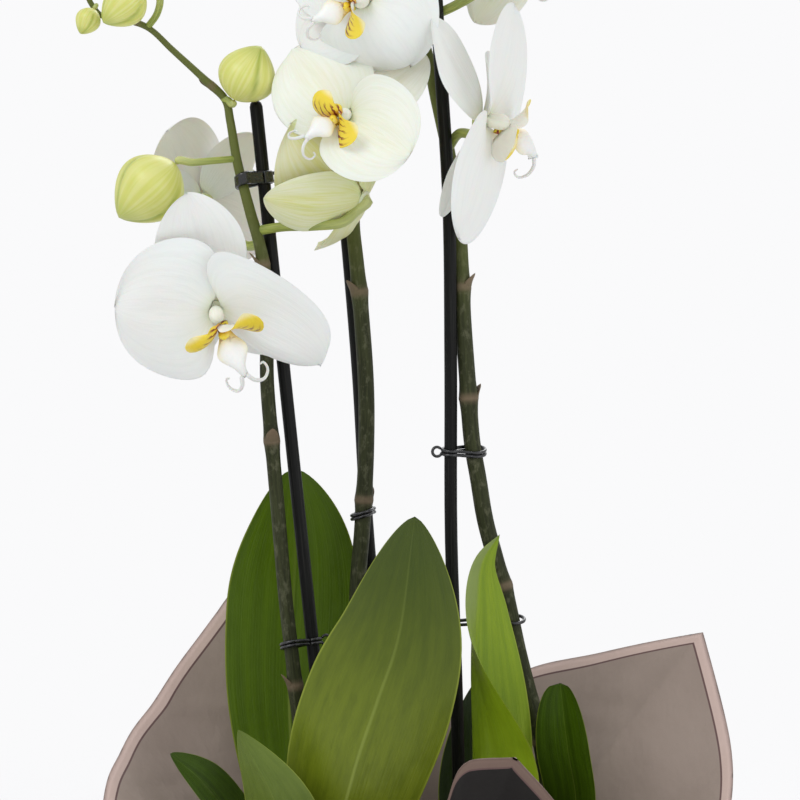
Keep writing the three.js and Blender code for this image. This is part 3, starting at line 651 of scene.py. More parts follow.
# Midrib, the way the channel opens, greatest width and where, channel, width at the base, bluntness of the
# tip, and how far the leaf is folded.
LEAVES = {
    "leaf_front": ([(-43.8, -4.9, 122), (-42.5, -17, 142), (-36, -31, 163), (-28, -46, 192), (-22, -52, 214),
        (-14, -56, 238), (-5, -57, 266), (2, -52, 318)],
        (0.15, 1, 0.1), 66, 0.57, 0.16, 0.14, 0.68),
    "leaf_back_tall": ([(-44.8, 13.1, 122), (-50, 24, 150), (-54, 32, 185), (-56, 37, 225), (-54, 38, 269),
        (-52.5, 33, 300), (-53, 24, 331)], (0.1, -1, 0.1), 62, 0.68, 0.16, 0.26, 0.6),
    "leaf_left_front": ([(-47.6, -1.9, 108), (-52, -20, 126), (-54, -42, 158), (-58, -56, 190),
        (-75, -64, 226)], (0.2, 0.9, 0.4), 37, 0.55, 0.2, 0.4, 0.8),
    "leaf_left": ([(-49.8, 5.9, 116), (-62, 4, 139), (-76, -9, 166), (-92, -24, 193), (-107, -30, 209)],
        (0.35, -0.5, 0.8), 40, 0.55, 0.2, 0.4, 0.7),
    "leaf_right_tall": ([(36, -6, 122), (33, -14, 150), (30, -20, 185), (29, -24, 215), (29, -26, 245),
        (30, -25, 272), (32, -23, 293), (40, -19, 306)], (0.6, -0.8, 0.1), 54, 0.42, 0.3,
        0.24, 0.95, 1),
    "leaf_right_small": ([(46.5, -2.7, 108), (61.5, -3, 130), (72, -12, 160), (75, -20, 184), (71, -25, 210),
        (67, -25, 240)], (-0.6, -0.7, 0.2), 30, 0.76, 0.3, 0.28, 0.36),
    "leaf_back_dark": ([(36, 13.1, 122), (33, 20, 150), (30, 28, 185), (30, 34, 230)], (-0.1, -1, 0.2), 34,
        0.5, 0.2, 0.4, 0.8),
    "leaf_back_short": ([(43, 11, 108), (47, 20, 126), (48, 30, 152), (43, 39, 184), (34, 44, 208)],
        (-0.4, -0.6, 0.7), 36, 0.55, 0.2, 0.35, 0.7),
}
# Finishes of leaves: display colours of the upper face, its darker parts and the lower face, how much
# painted shade darkens the tip, and which leaves have them.
LEAF_FINISHES = {
    "leaf_tall": ((84, 112, 4), (60, 84, 4), (104, 126, 30), 0, ["leaf_back_tall"]),
    "leaf_bright": ((134, 158, 22), (96, 126, 8), (146, 176, 30), 0, ["leaf_right_tall"]),
    "leaf_deep": ((66, 92, 10), (28, 46, 6), (96, 116, 46), 0, ["leaf_left", "leaf_right_small"]),
    "leaf_pale": ((86, 108, 30), (64, 84, 20), (102, 120, 44), 0, ["leaf_left_front"]),
    "leaf_front_under": ((84, 100, 8), (40, 58, 4), (116, 130, 28), 0.8, ["leaf_front"]),
    # leaf_shaded is painted shade: the leaf deep at the back is painted almost black green.
    "leaf_shaded": ((30, 46, 6), (16, 28, 4), (48, 62, 20), 0, ["leaf_back_dark"]),
}


def leaf_shape(shape, seed, points, opens, width, fullest, channel, base, tip, folded=0):
    """One leaf. folded is how far its half at s < 0 is folded up over the other, low on the leaf."""
    rib = Path(points)
    opens = Vector(opens).normalized()
    phase = 1.7 * seed

    def middle(t, s):
        spot, way, _, _ = rib.at(t)
        up = (opens - way * opens.dot(way)).normalized()
        rise = base + (1 - base) * math.sin(math.pi / 2 * min(1, t / fullest))
        fall = 1 if t <= fullest else math.cos(math.pi / 2 * (t - fullest) / (1 - fullest)) ** tip
        half = width / 2 * rise * fall
        wave = 0.9 * abs(s) ** 3 * math.sin(9 * t + phase + s) * min(1, 4 * t) * (1 - t)
        groove = -0.8 * bump_at(s, 0, 0.05) * (1 - t)
        hinge = folded * FOLD_TURN * smooth(-s, 0, 0.3) * (1 - smooth(t, 0.42, 0.94))
        beside = half * s * math.cos(hinge)
        lifted = channel * half * abs(s) ** 1.5 - half * s * math.sin(hinge)
        return spot + way.cross(up) * beside + up * (lifted + wave + groove)

    thick = sizes().leaf / MM
    # The tint marks a painted sheen on the folded half, high up where the leaf opens.
    plate(shape, middle, lambda t, s: thick * (1 + 0.7 * bump_at(s, 0, 0.07) * (1 - t)), 24, 64,
          spacing=lambda share: crowded(share) * 0.5 + share * 0.5, spread=crowded,
          tint=lambda t, s: folded * 0.8 * smooth(-s, 0.02, 0.25) * smooth(t, 0.66, 0.84))


# ---- Flowers and buds ----

START = 1.5  # from a flower's centre to the base of its petals and sepals
HUB_R = 4  # nearer the centre than this, a petal's cupping doesn't tighten
OPEN = (8, -22)
SWEEP = 0.3  # how far a petal's shoulders reach back past its base, as a share of its width
# In a flower's own frame +Z is out of the flower and +Y its top. A tepal: angle round the centre, length,
# width, slopes at base and tip, ruffle, the angle by which its half at s < 0 folds back, and its shoulder.
PETALS = [(13, 46, 52, OPEN, 1.3, 0), (167, 46, 52, OPEN, 1.3, 0)]
SEPALS = [(90, 43, 30, OPEN, 0.7, 0), (214, 43, 30, OPEN, 0.7, 0), (326, 43, 30, OPEN, 0.7, 0)]
# A flower: its centre, the azimuth from the front and the elevation that it faces, its roll and size. Some
# also have the lip's turn and size, slopes for all their tepals (open), a size for column and lip (grown),
# and a yellow-green flush.
FLOWERS = {
    "a1": dict(
        at=(-85, -46, 408), faces=(8, -24), roll=-4, size=1.04, lip_turn=32, lip=1.2,
        petals=[(182, 41, 66, (12, -16), 1.5, 0), (-28, 53, 58, (14, -20), 1.5, 50, 0.75)],
        sepals=[(108, 53, 39, (6, 2), 0.7, 0), (236, 40, 28, (0, -12), 0.7, 0),
                (-33, 48, 26, (-4, -26), 0.7, 0)],
    ),
    "a2": dict(at=(-95, 33, 454), faces=(-135, 4), roll=36, size=0.9, lip_turn=-42),
    "a3": dict(
        at=(-22, -7, 456), faces=(-118, 26), roll=20, size=1.08, open=(20, 52), grown=0.6, flush=1.5,
    ),
    "b1": dict(
        at=(-28, -30, 492), faces=(-8, 12), roll=-50, size=0.86, flush=0.4, lip=1.15,
        petals=[(180, 45, 54, (10, -16), 1.4, 0), (18, 41, 56, (32, -8), 1.4, 0)],
        sepals=[(90, 52, 34, (6, -14), 0.7, 0), (214, 43, 30, OPEN, 0.7, 0),
                (338, 32, 28, (-5, -30), 0.7, 0)],
    ),
    "b2": dict(
        at=(-20, -38, 542), faces=(-18, -4), roll=-42, size=1, lip_turn=-26,
        petals=[(-20, 38, 60, (20, -70), 1.3, 0), (167, 46, 52, OPEN, 1.3, 0)],
        sepals=[(90, 43, 30, OPEN, 0.7, 0), (254, 38, 38, (6, -10), 0.7, 0),
                (345, 34, 28, (-5, -30), 0.7, 0)],
    ),
    "c1": dict(
        at=(34, -12, 490), faces=(73, -6), roll=64, size=1.16, lip_turn=-12,
        petals=[(13, 45, 52, (18, -10), 1.3, 0), (183, 48, 56, (14, -16), 1.3, 0)],
        sepals=[(62, 48, 26, (-6, -24), 0.6, 0), (200, 40, 30, (0, -20), 0.7, 0),
                (326, 43, 30, OPEN, 0.7, 0)],
    ),
    "c2": dict(at=(53, 16, 567), faces=(160, 8), roll=-20, size=0.96, flush=0.5),
    "c3": dict(at=(-14, -30, 604), faces=(-24, -8), roll=8, size=1),
}


def facing(flower):
    """The matrix that carries a flower's own frame to its place."""
    azimuth, elevation = [math.radians(angle) for angle in flower["faces"]]
    level = math.cos(elevation)
    out = Vector((math.sin(azimuth) * level, -math.cos(azimuth) * level, math.sin(elevation)))
    across = Vector((0, 0, 1)).cross(out).normalized()
    basis = Matrix((across, out.cross(across), out)).transposed().to_4x4()
    roll = Matrix.Rotation(math.radians(flower["roll"]), 4, "Z")
    return Matrix.Translation(flower["at"]) @ basis @ roll @ Matrix.Scale(flower["size"], 4)


def petal_outline(t):
    return 0.1 * (1 - t) + 0.97 * smooth(t, -0.33, 0.36) * max(0, math.sin(math.pi * t ** 1.2)) ** 0.48


def sepal_outline(t):
    return 0.14 * (1 - t) + 0.9 * max(0, math.sin(math.pi * t ** 1.04)) ** 0.56


def tepal(shape, seed, outline, behind, flush, angle, reach, width, slopes, ruffle, folds, shoulder=0):
    """One petal or sepal: it bends evenly from its first slope to its last, and cups or arches across.
    shoulder is how much further its half at s > 0 reaches back past its base, in front of the rest."""
    start, turn = math.radians(slopes[0]), math.radians(slopes[1] - slopes[0])
    cos, sin = math.cos(math.radians(angle)), math.sin(math.radians(angle))
    draw = random.Random(seed)
    phases = [draw.uniform(0, 6.28) for _ in range(3)]

    def middle(t, s):
        slope = start + turn * t
        out = START + reach * (math.sin(slope) - math.sin(start)) / turn
        rise = reach * (math.cos(start) - math.cos(slope)) / turn
        curl = math.sin(slope) / max(out, HUB_R)
        curl = curl if abs(curl) > 1e-6 else 1e-6
        roll = curl * width / 2 * outline(min(max(t, 0), 1)) * s
        back = behind * (2.1 + 4.2 * smooth(t, 0, 0.65))
        inward = (1 - math.cos(roll)) / curl - back
        inward += ruffle * abs(s) ** 2.2 * smooth(t, 0.15, 0.7) * math.sin(5.2 * t + 2.1 * s + phases[0])
        inward += 0.5 * ruffle * t * math.sin(7 * t + phases[1]) * math.cos(4.3 * s + phases[2])
        inward -= 0.55 * bump_at(s, 0, 0.09) * math.sin(math.pi * t)
        sideways = math.sin(roll) / curl
        dip = math.radians(folds) * smooth(-s, 0, 0.5)
        inward += sideways * math.sin(dip)
        sideways *= math.cos(dip)
        back_by = SWEEP * (1 - behind) + shoulder * smooth(s, 0, 0.4)
        swept = back_by * abs(s) ** 1.6 * width * math.sin(math.pi * min(t, 1)) * (1 - t)
        inward += 9 * shoulder * smooth(s, 0.1, 0.9) * math.sin(math.pi * min(t, 1)) * (1 - t)
        r = out - swept - inward * math.sin(slope)
        return (r * cos - sideways * sin, r * sin + sideways * cos, rise + inward * math.cos(slope))

    def tint(t, s):
        ribbed = flush * (0.65 + 0.35 * bump_at(s, 0, 0.35)) * (1 - 0.35 * t)
        return min(1, ribbed + 0.4 * bump_at(t, 0, 0.1))

    plate(shape, middle, sizes().petal / MM, 26, 30, tint=tint, spacing=crowded, spread=crowded)


def lip_shape(shape, grown):
    """Two side lobes, a tongue that ends in two tendrils, and the callus between them."""
    lobe_line = [(1.6, -4.4, 5), (5.2, -5.4, 9), (8.8, -3.6, 12.5), (10.2, 1.2, 14)]
    tongue_line = [(0, -3.7, 2.6), (0, -5.6, 8.5), (0, -9.5, 13.5), (0, -15, 16.5), (0, -20.5, 16.5)]
    tendril_line = [(0.9, -19.6, 16.2), (2.6, -23.5, 15.8), (5.4, -25.6, 13.4), (7.6, -24.2, 10.6),
                    (7.2, -21.6, 9.6), (5.9, -21.2, 10.8)]
    for side in (1, -1):
        lobe = Path([(side * x, y, z) for x, y, z in lobe_line], across=(0, 0.4 * side, side))

        def lobe_middle(t, s, lobe=lobe, side=side):
            spot, _, across, up = lobe.at(t)
            half = 6.4 * (0.62 * (1 - t) + 0.9 * max(0, math.sin(math.pi * t ** 0.9)) ** 0.6)
            return spot + across * (half * s) + up * (side * 1.8 * s * s * t * (1 - t) * 4)

        plate(shape, lobe_middle, 0.9, 14, 16, spacing=crowded, spread=crowded)
    tongue = Path(tongue_line, across=(1, 0, 0))

    def tongue_middle(t, s):
        spot, _, across, up = tongue.at(t)
        half = 2.2 + 3.9 * bump_at(t, 0.55, 0.22) - 0.9 * t
        return spot + across * (half * s) + up * (-1.9 * s * s * (0.4 + t))

    plate(shape, tongue_middle, 1.1, 14, 22, spread=crowded, finish=1,
          tint=lambda t, s: 0.55 * bump_at(abs(s), 1, 0.3) * (1 - t))
    for side in (1, -1):
        tendril = Path([(side * x, y, z) for x, y, z in tendril_line])
        rod(shape, tendril, lambda share, turn: 0.85 - 0.5 * share, 8, 24, finish=2)
    ball(shape, (0, -5.2, 9.5), (2.2, 1.7, 2.6), tint=0.9, finish=1)
    bmesh.ops.scale(shape, vec=(grown, grown, grown), verts=shape.verts)


def column_shape(shape, grown):
    """The column in the middle of a flower, thickest halfway out."""
    line = Path([(0, 0, -0.4), (0, 0.3, 4 * grown), (0, -0.4, 9.2 * grown)])

    def radius(share, turn):
        return grown * (2.4 + 0.7 * math.sin(math.pi * share ** 1.3))

    rod(shape, line, radius, 20, 24, tint=lambda share, turn: 0.25)


# Where a bud's base meets its stalk, the way its tip points, length and greatest width.
BUDS = {
    "a1": ((-104, -12, 471), (-0.72, -0.1, -0.68), 35, 31),
    "a2": ((-78, -11, 499), (0.45, -0.15, 0.88), 27, 26),
    "a3": ((-117, -28, 547.5), (-0.75, -0.16, -0.64), 23, 19),
    "a4": ((-139, -20.5, 539), (-0.45, -0.3, -0.84), 13, 11),
    "b1": ((-70, -6, 601), (-0.6, -0.3, -0.6), 21, 17),
    "b2": ((-71, -3, 617), (-0.85, -0.35, 0.3), 13, 11),
    "c1": ((17, -14, 608), (0.5, -0.55, -0.55), 20, 17),
    "c2": ((37, -19, 627), (0.85, -0.35, 0.1), 13, 11),
}


def bud_shape(shape, seed, base, points, reach, width):
    """Three sepals closed over each other, with a seam between each two."""
    made = bmesh.ops.create_uvsphere(shape, u_segments=54, v_segments=34, radius=1)["verts"]
    place, tinted = marks(shape)
    for vert in made:
        turn = math.atan2(vert.co.y, vert.co.x)
        share = 1 - math.acos(min(max(vert.co.z, -1), 1)) / math.pi
        wide = width / 2 * max(0, math.sin(math.pi * share ** 0.86)) ** 0.72
        third = ((turn + seed + 0.5 * share) / (2 * math.pi) * 3) % 1
        seam = max(bump_at(third, 0, 0.05), bump_at(third, 1, 0.05)) * smooth(share, 0.12, 0.4)
        wide *= 1 + 0.035 * third - 0.05 * seam - 0.015 * math.cos(2 * math.pi * third)
        vert.co = (wide * math.cos(turn), wide * math.sin(turn), reach * share)
        vert[place] = (math.cos(turn), math.sin(turn), share)
        vert[tinted] = 0.75 * seam
    lean = Vector((0, 0, 1)).rotation_difference(Vector(points).normalized()).to_matrix().to_4x4()
    bmesh.ops.transform(shape, matrix=Matrix.Translation(base) @ lean, verts=made)


# ---- Spikes, stakes and clips ----

CROWN_AT = {"left": (-40, 4), "right": (36.5, 4)}
STAKE_R, SPIKE_END_R = 2.9, 1.2


def crown_side(side, azimuth, z):
    """The first two points of a spike, which leaves the side of its crown level."""
    x, y = CROWN_AT[side]
    cos, sin = math.cos(math.radians(azimuth)), math.sin(math.radians(azimuth))
    return [(x + r * cos, y + r * sin, z) for r in (8.85, 11.85)]


# Points of each spike's axis and its radius low down.
SPIKES = {
    "a": ([*crown_side("left", 42, 114), (-30, 12.5, 130), (-34, 6, 148), (-38, 1, 163), (-44, -4, 185),
        (-50, -7, 220), (-53, -8, 248), (-56, -8, 275), (-59, -8, 311), (-62, -8, 347), (-64, -8, 374),
        (-64, -9, 401), (-66, -10.5, 430), (-71, -10.5, 449), (-74, -9, 460), (-77, -8, 472),
        (-80, -8, 490), (-82, -9, 499), (-91, -11, 508), (-105, -14, 521), (-116, -16, 531),
        (-128, -17, 535), (-136, -17, 536), (-141, -17, 542), (-143, -17, 547)], 3.2),
    "b": ([*crown_side("right", 146, 110), (16, 15, 126), (-2, 16, 150), (-15, 18, 172), (-22, 20, 200),
        (-24, 22, 240), (-24, 22, 275), (-22, 22, 301), (-21, 22, 317), (-20, 22, 340), (-20, 22, 368),
        (-23, 22, 412), (-26, 24, 441), (-30, 27, 472), (-34, 28, 499), (-37, 26, 526), (-40, 22, 553),
        (-44, 16, 577), (-52, 9, 597), (-63, 2, 612)], 3.7),
    "c": ([*crown_side("right", 18, 120), (51, 4, 134), (56, 5, 158), (61, 5, 185), (60, 6, 208),
        (53, 6, 234), (49, 6, 250), (44, 5, 273), (39, 5, 291), (34, 4, 310), (31, 4, 328), (28, 4, 346),
        (26, 5, 373), (24, 6, 400), (23, 8, 423), (22, 10, 441), (20, 11, 459), (17, 11, 477),
        (14, 11, 490), (11, 11, 503), (8, 11, 519), (4, 10, 535), (2, 8, 557), (2, 5, 581), (6, 0, 603),
        (15, -7, 619), (28, -14, 626)], 3.8),
}
# Heights of each spike's joints, where a ring and an old bract stay, and the way each bract looks.
JOINTS = {
    "a": [(236, 200), (346, -80), (425, 190), (505, 120), (533, -60)],
    "b": [(222, 170), (316, 60), (410, 215), (444, 80), (566, -30), (598, 90)],
    "c": [(208, 20), (279, 100), (365, 30), (414, -20), (535, 20), (575, 200), (604, 60)],
}
# Points of each stalk, from its spike's axis to just behind its flower or bud. The letter is the spike's.
FLOWER_STALKS = {
    "a1": [(-65.5, -10, 422), (-72, -16, 422), (-81, -28, 417)],
    "a2": [(-66.5, -10, 435), (-74, 2, 434), (-84, 16, 440), (-92, 24, 447)],
    "a3": [(-68, -10, 441), (-56, -14, 443), (-42, -16, 443.5), (-30, -13, 445), (-24, -8, 450)],
    "b1": [(-36, 27, 515), (-36, 12, 508), (-34, -8, 494)],
    "b2": [(-42, 19, 565), (-38, 4, 562), (-32, -14, 552)],
    "c1": [(17, 11, 477), (22, 4, 484), (30, -7, 484)],
    "c2": [(4, 10, 535), (18, 6, 540), (36, 5, 551)],
    "c3": [(2, 6, 574), (-4, -2, 584), (-10, -14, 599)],
}
BUD_STALKS = {
    "a1": [(-77.5, -8, 473), (-90, -11, 472), (-97, -12, 471.5)],
    "a2": [(-84, -9, 500), (-81, -10, 499)],
    "a3": [(-116, -16, 531), (-111.5, -19, 537), (-110, -24, 544), (-113, -27, 548.5)],
    "a4": [(-139.5, -17, 540), (-139, -18.5, 540)],
    "b1": [(-58, 5, 604), (-64, 0, 604), (-67.5, -3, 603)],
    "b2": [(-62.5, 2.5, 611.5), (-67, 0, 615)],
    "c1": [(10, -4, 612), (13, -9, 611)],
    "c2": [(27.5, -13.5, 626), (33, -17, 626.5)],
}
STAKES = {
    "a": [(-19, -6, 12), (-69, -3, 499)],
    "b": [(8, 31, 12), (-19, 31, 296), (-24, 31, 378), (-31, 31, 462)],
    "c": [(26, 2, 12), (21.2, 2, 229), (18.6, 2, 302), (18.3, 2, 380), (17.3, 2.2, 454), (13, 2.4, 522),
        (9, 2.5, 590)],
}
# Each clip: its stake, its height and how often its wire goes round; 0 is a flat band.
CLIPS = {
    "clip_a_top": ("a", 458, 0), "clip_a_middle": ("a", 364, 2), "clip_a_low": ("a", 249, 2),
    "clip_b": ("b", 306, 2), "clip_c_top": ("c", 339, 2), "clip_c_low": ("c", 258, 1),
}


def spike_radius(base, share):
    """Steady over the spike's lower half, then thinning to its end."""
    return base + (SPIKE_END_R - base) * smooth(share, 0.52, 1)


def spike_shape(shape, key):
    points, base = SPIKES[key]
    axis = Path(points)
    joints = [(axis.share_at(z) * axis.length, look) for z, look in JOINTS[key]]

    def radius(share, turn):
        far = share * axis.length
        swell = sum(0.14 * bump_at(far, at, 5) + 0.08 * bump_at(far, at, 1.3) for at, _ in joints)
        flute = 0.015 * math.sin(3 * turn + 0.02 * far)
        return spike_radius(base, share) * (1 + swell + flute)

    def tint(share, turn):
        return 0.8 * max(bump_at(share * axis.length, at, 1.7) for at, _ in joints)

    rod(shape, axis, radius, 20, round(axis.length / 1.6), tint=tint, domed=False)
    for far, look in joints:
        bract_shape(shape, axis, far, look, spike_radius(base, far / axis.length))


def bract_shape(shape, axis, far, look, around):
    """An old bract that hugs the stem above its joint and points up and out."""
    spot, way, _, _ = axis.at(far / axis.length)
    out = Vector((math.cos(math.radians(look)), math.sin(math.radians(look)), 0))
    out = (out - way * out.dot(way)).normalized()
    beside = way.cross(out)

    def middle(t, s):
        spread = 1.15 * s * (1 - t ** 1.6)
        away = around * 1.1 + 2.6 * t * t
        return spot + (out * math.cos(spread) + beside * math.sin(spread)) * away + way * (6.8 * t - 0.8)

    plate(shape, middle, 0.7, 10, 12, tint=lambda t, s: 0.55 + 0.45 * t)


def stalk_shape(shape, points, end, way, thin, thick):
    """A flower's or bud's stalk, which thickens to its end."""
    end, way = Vector(end), Vector(way).normalized()
    path = Path([*points, end - 2 * way, end])
    rod(shape, path, lambda share, turn: thin + (thick - thin) * share ** 3, 12, 40,
        tint=lambda share, turn: 0.8 * share ** 2, finish=1)


def clip_shape(shape, stake, spike, height, spike_r, turns):
    """A wire bent round the stake, crossed, and bent round the spike, with a small loop at its end."""
    wire = sizes().wire / MM
    stake_at, up, _, _ = stake.at(stake.share_at(height))
    spike_at = spike.at(spike.share_at(height))[0]
    across = spike_at - stake_at
    across -= up * across.dot(up)
    apart = across.length
    across.normalize()
    beside = up.cross(across)
    near, far = STAKE_R + wire + 0.15, spike_r + wire + 0.35
    for lap in range(max(turns, 1)):
        level = (lap - (turns - 1) / 2) * 2.1 * wire if turns else 0
        path = []
        # Each bend goes 240 degrees round, and the wire crosses itself between the two.
        for start, centre, r, lift in ((60, 0, near, 0.5), (-120, apart, far, 1.2)):
            for k in range(25):
                angle = math.radians(start + 240 * k / 24)
                aside = math.sin(angle)
                path.append((centre + r * math.cos(angle), r * aside, level + lift * aside))
        path.append((path[0][0] + 0.4, path[0][1] + 0.2, path[0][2]))
        spots = [stake_at + across * x + beside * y + up * z for x, y, z in path]
        round_both = Path(spots, 3)
        if turns:
            rod(shape, round_both, wire, 8, 150)
        else:
            plate(shape, lambda t, s: round_both.at(t)[0] + up * (2.9 * s), 1.3, 10, 120, rim=16, ends=200)
    loop = []
    for k in range(20):
        angle = math.radians(180 + 330 * k / 19)
        away = -near - 2.3 - 2.1 * math.cos(angle)
        loop.append(stake_at + across * away + up * (2.1 * math.sin(angle)) + beside * (0.05 * k))
    rod(shape, Path(loop, 3), wire * 0.85, 8, 60)


# ---- Pot, crowns and stage ----

POT_FOOT, POT_TOP = 1.15, 111.15
# Half of the pot's section: out along its underside, up, over the rim, down its inside and back in.
POT_SECTION = [
    (0, POT_FOOT + 0.4), (40, POT_FOOT), (44, POT_FOOT + 1.2), (56.4, POT_TOP - 5.4), (57.6, POT_TOP - 5),
    (60, POT_TOP - 4.6), (60, POT_TOP - 0.5), (59.4, POT_TOP), (56.1, POT_TOP), (55.5, POT_TOP - 0.6),
    (42.8, POT_FOOT + 3.2), (41.6, POT_FOOT + 2), (0, POT_FOOT + 2),
]
# How many bark chips are strewn, within what radius, and how high the lowest of them lie.
CHIPS, CHIPS_R, CHIPS_Z = 520, 51, 94.5
CHIPS_CLEAR = 11  # no chip lies nearer than this to the middle of a crown
CROWN_R, CROWN_FOOT, CROWN_TOP = 7.4, 92.5, 134
# The stage is in metres. A lamp: where it hangs, its width and its power in watts.
LAMPS = {
    "key": ((-1.1, -1.3, 1.9), 1.1, 14),
    "fill": ((1.6, -1.2, 0.8), 1.4, 6),
    "back": ((0.5, 1.5, 1.6), 1.0, 9),
}
DAYLIGHT = 0.74
STAGE_R = 1.3
VIEW_MIDDLE = Vector((-0.0045, 0, 0.3645))
CAMERA_TILT, CAMERA_LENS, SENSOR_WIDTH = math.radians(5), 160, 36


def crown_shape(shape, x, y):
    """A plant's foot, ringed by the sheaths of its old leaves."""
    def radius(share, turn):
        layers = 0.5 * math.sin(30 * share) + 0.35 * math.sin(2 * turn + 9 * share)
        return CROWN_R + layers * 0.8 - 2.6 * smooth(share, 0.8, 1)

    rod(shape, Path([(x, y, CROWN_FOOT), (x, y, 113), (x, y, CROWN_TOP)]), radius, 32, 40,
        tint=lambda share, turn: 0.5 + 0.5 * math.sin(30 * share))


def stage_floor():
    """A pale round floor that fades out towards its edge."""
    shape = bmesh.new()
    bmesh.ops.create_circle(shape, cap_ends=True, segments=96, radius=STAGE_R)
    bmesh.ops.translate(shape, vec=(0, 0, -0.0002), verts=shape.verts)
    mesh = bpy.data.meshes.new("studio_floor")
    shape.to_mesh(mesh)
    shape.free()
    floor = bpy.data.objects.new("studio_floor", mesh)
    bpy.context.collection.objects.link(floor)
    finish = Finish("floor_pale", Specular_IOR_Level=0.1)
    reach = finish.add("ShaderNodeVectorMath", {0: finish.here()}, operation="LENGTH").outputs["Value"]
    finish.feed(finish.shader.inputs["Alpha"], finish.between(reach, 0.35, 1.2, 1, 0))
    mesh.materials.append(finish.paint(colours().floor, 0.9))


def stage_world():
    """Even daylight, which the camera sees as a nearly white backdrop."""
    world = bpy.data.worlds.new("studio")
    world.use_nodes = True
    nodes, links = world.node_tree.nodes, world.node_tree.links
    daylight = nodes["Background"]
    daylight.inputs["Color"].default_value = (0.97, 0.985, 1, 1)
    daylight.inputs["Strength"].default_value = DAYLIGHT
    backdrop = nodes.new("ShaderNodeBackground")
    backdrop.inputs["Color"].default_value = (*shade(250, 250, 251), 1)
    chosen = nodes.new("ShaderNodeMixShader")
    links.new(nodes.new("ShaderNodeLightPath").outputs["Is Camera Ray"], chosen.inputs[0])
    links.new(daylight.outputs[0], chosen.inputs[1])
    links.new(backdrop.outputs[0], chosen.inputs[2])
    links.new(chosen.outputs[0], nodes["World Output"].inputs["Surface"])
    bpy.context.scene.world = world


def stage_lamps():
    for name, (at, width, power) in LAMPS.items():
        lamp = bpy.data.lights.new(name, "AREA")
        lamp.size, lamp.energy = width, power
        light = bpy.data.objects.new(name, lamp)
        light.location = at
        light.rotation_euler = (VIEW_MIDDLE - Vector(at)).to_track_quat("-Z", "Y").to_euler()
        bpy.context.collection.objects.link(light)


def stage_camera():
    """The photo's view: from the front, tilted a little down."""
    data = bpy.data.cameras.new("photo_camera")
    data.lens, data.sensor_width = CAMERA_LENS, SENSOR_WIDTH
    camera = bpy.data.objects.new("photo_camera", data)
    away = Vector((0, -math.cos(CAMERA_TILT), math.sin(CAMERA_TILT)))
    camera.location = VIEW_MIDDLE + sizes().distance * away
    camera.rotation_euler = (math.pi / 2 - CAMERA_TILT, 0, 0)
    bpy.context.collection.objects.link(camera)
    bpy.context.scene.camera = camera


# ---- Operators ----


class ORCHID_OT_wrap(bpy.types.Operator):
    """Gather the square paper sheet round the pot"""
    bl_idname = "orchid.wrap"
    bl_label = "Paper wrap"

    def execute(self, context):
        shape = new_shape()
        plate(shape, wrap_point, sizes().paper / MM, 180, 180, rim=60, ends=90)
        piece = settle(shape, "paper_wrap", "wrap_paper", [paper_finish()], "wrap")
        return {"FINISHED"}


class ORCHID_OT_pot(bpy.types.Operator):
    """Spin the nursery pot"""
    bl_idname = "orchid.pot"
    bl_label = "Nursery pot"

    def execute(self, context):
        shape = new_shape()
        verts = [shape.verts.new((r, 0, z)) for r, z in POT_SECTION]
        edges = [shape.edges.new(pair) for pair in zip(verts, verts[1:])]
        bmesh.ops.spin(shape, geom=verts + edges, axis=(0, 0, 1), cent=(0, 0, 0), angle=2 * math.pi,
                       steps=96, use_merge=True)
        bmesh.ops.remove_doubles(shape, verts=shape.verts, dist=1e-3)
        piece = settle(shape, "nursery_pot", "pot_plastic", [pot_finish()], "pot")
        for polygon in piece.data.polygons:
            polygon.use_smooth = abs(polygon.normal.z) < 0.9
        return {"FINISHED"}


class ORCHID_OT_medium(bpy.types.Operator):
    """Fill the pot with bark chips"""
    bl_idname = "orchid.medium"
    bl_label = "Bark"

    def execute(self, context):
        shape = new_shape()
        # The chips lie on a plain body that fills the pot.
        body = bmesh.ops.create_cone(
            shape, cap_ends=True, segments=64, radius1=42, radius2=53.4, depth=90.5,
        )
        bmesh.ops.translate(shape, vec=(0, 0, 49), verts=body["verts"])
        _, tinted = marks(shape)
        draw = random.Random(11)
        for _ in range(CHIPS):
            r, turn = CHIPS_R * math.sqrt(draw.random()), draw.uniform(0, 2 * math.pi)
            at = Vector((r * math.cos(turn), r * math.sin(turn), CHIPS_Z + draw.uniform(0, 5)))
            if min((at.xy - Vector(spot)).length for spot in CROWN_AT.values()) < CHIPS_CLEAR:
                continue
            made = bmesh.ops.create_cube(shape, size=1)["verts"]
            size = Vector((draw.uniform(6, 13), draw.uniform(4, 8), draw.uniform(1.6, 3.6)))
            tone = draw.random() ** 2
            for vert in made:
                vert.co = [vert.co[k] * size[k] * draw.uniform(0.75, 1.1) for k in range(3)]
                vert[tinted] = tone
            turned = Matrix.Rotation(draw.uniform(0, 6.28), 4, "Z")
            turned = turned @ Matrix.Rotation(draw.uniform(-0.6, 0.6), 4, "X")
            turned = turned @ Matrix.Rotation(draw.uniform(-0.5, 0.5), 4, "Y")
            edges = list({edge for vert in made for edge in vert.link_edges})
            bmesh.ops.transform(shape, matrix=Matrix.Translation(at) @ turned, verts=made)
            bmesh.ops.bevel(shape, geom=edges, offset=0.5, segments=1, affect="EDGES", profile=0.5,
                            material=-1)
        piece = settle(shape, "bark_medium", "bark", [bark_finish()], "growing_medium")
        for polygon in piece.data.polygons:
            polygon.use_smooth = False
        return {"FINISHED"}


class ORCHID_OT_crowns(bpy.types.Operator):
    """Model the two plants' crowns as layered leaf sheaths"""
    bl_idname = "orchid.crowns"
    bl_label = "Crowns"

    def execute(self, context):
        finish = crown_finish()
        for side, (x, y) in CROWN_AT.items():
            shape = new_shape()
            crown_shape(shape, x, y)
            settle(shape, f"crown_sheaths_{side}", "crown", [finish], f"crown_{side}")
        return {"FINISHED"}


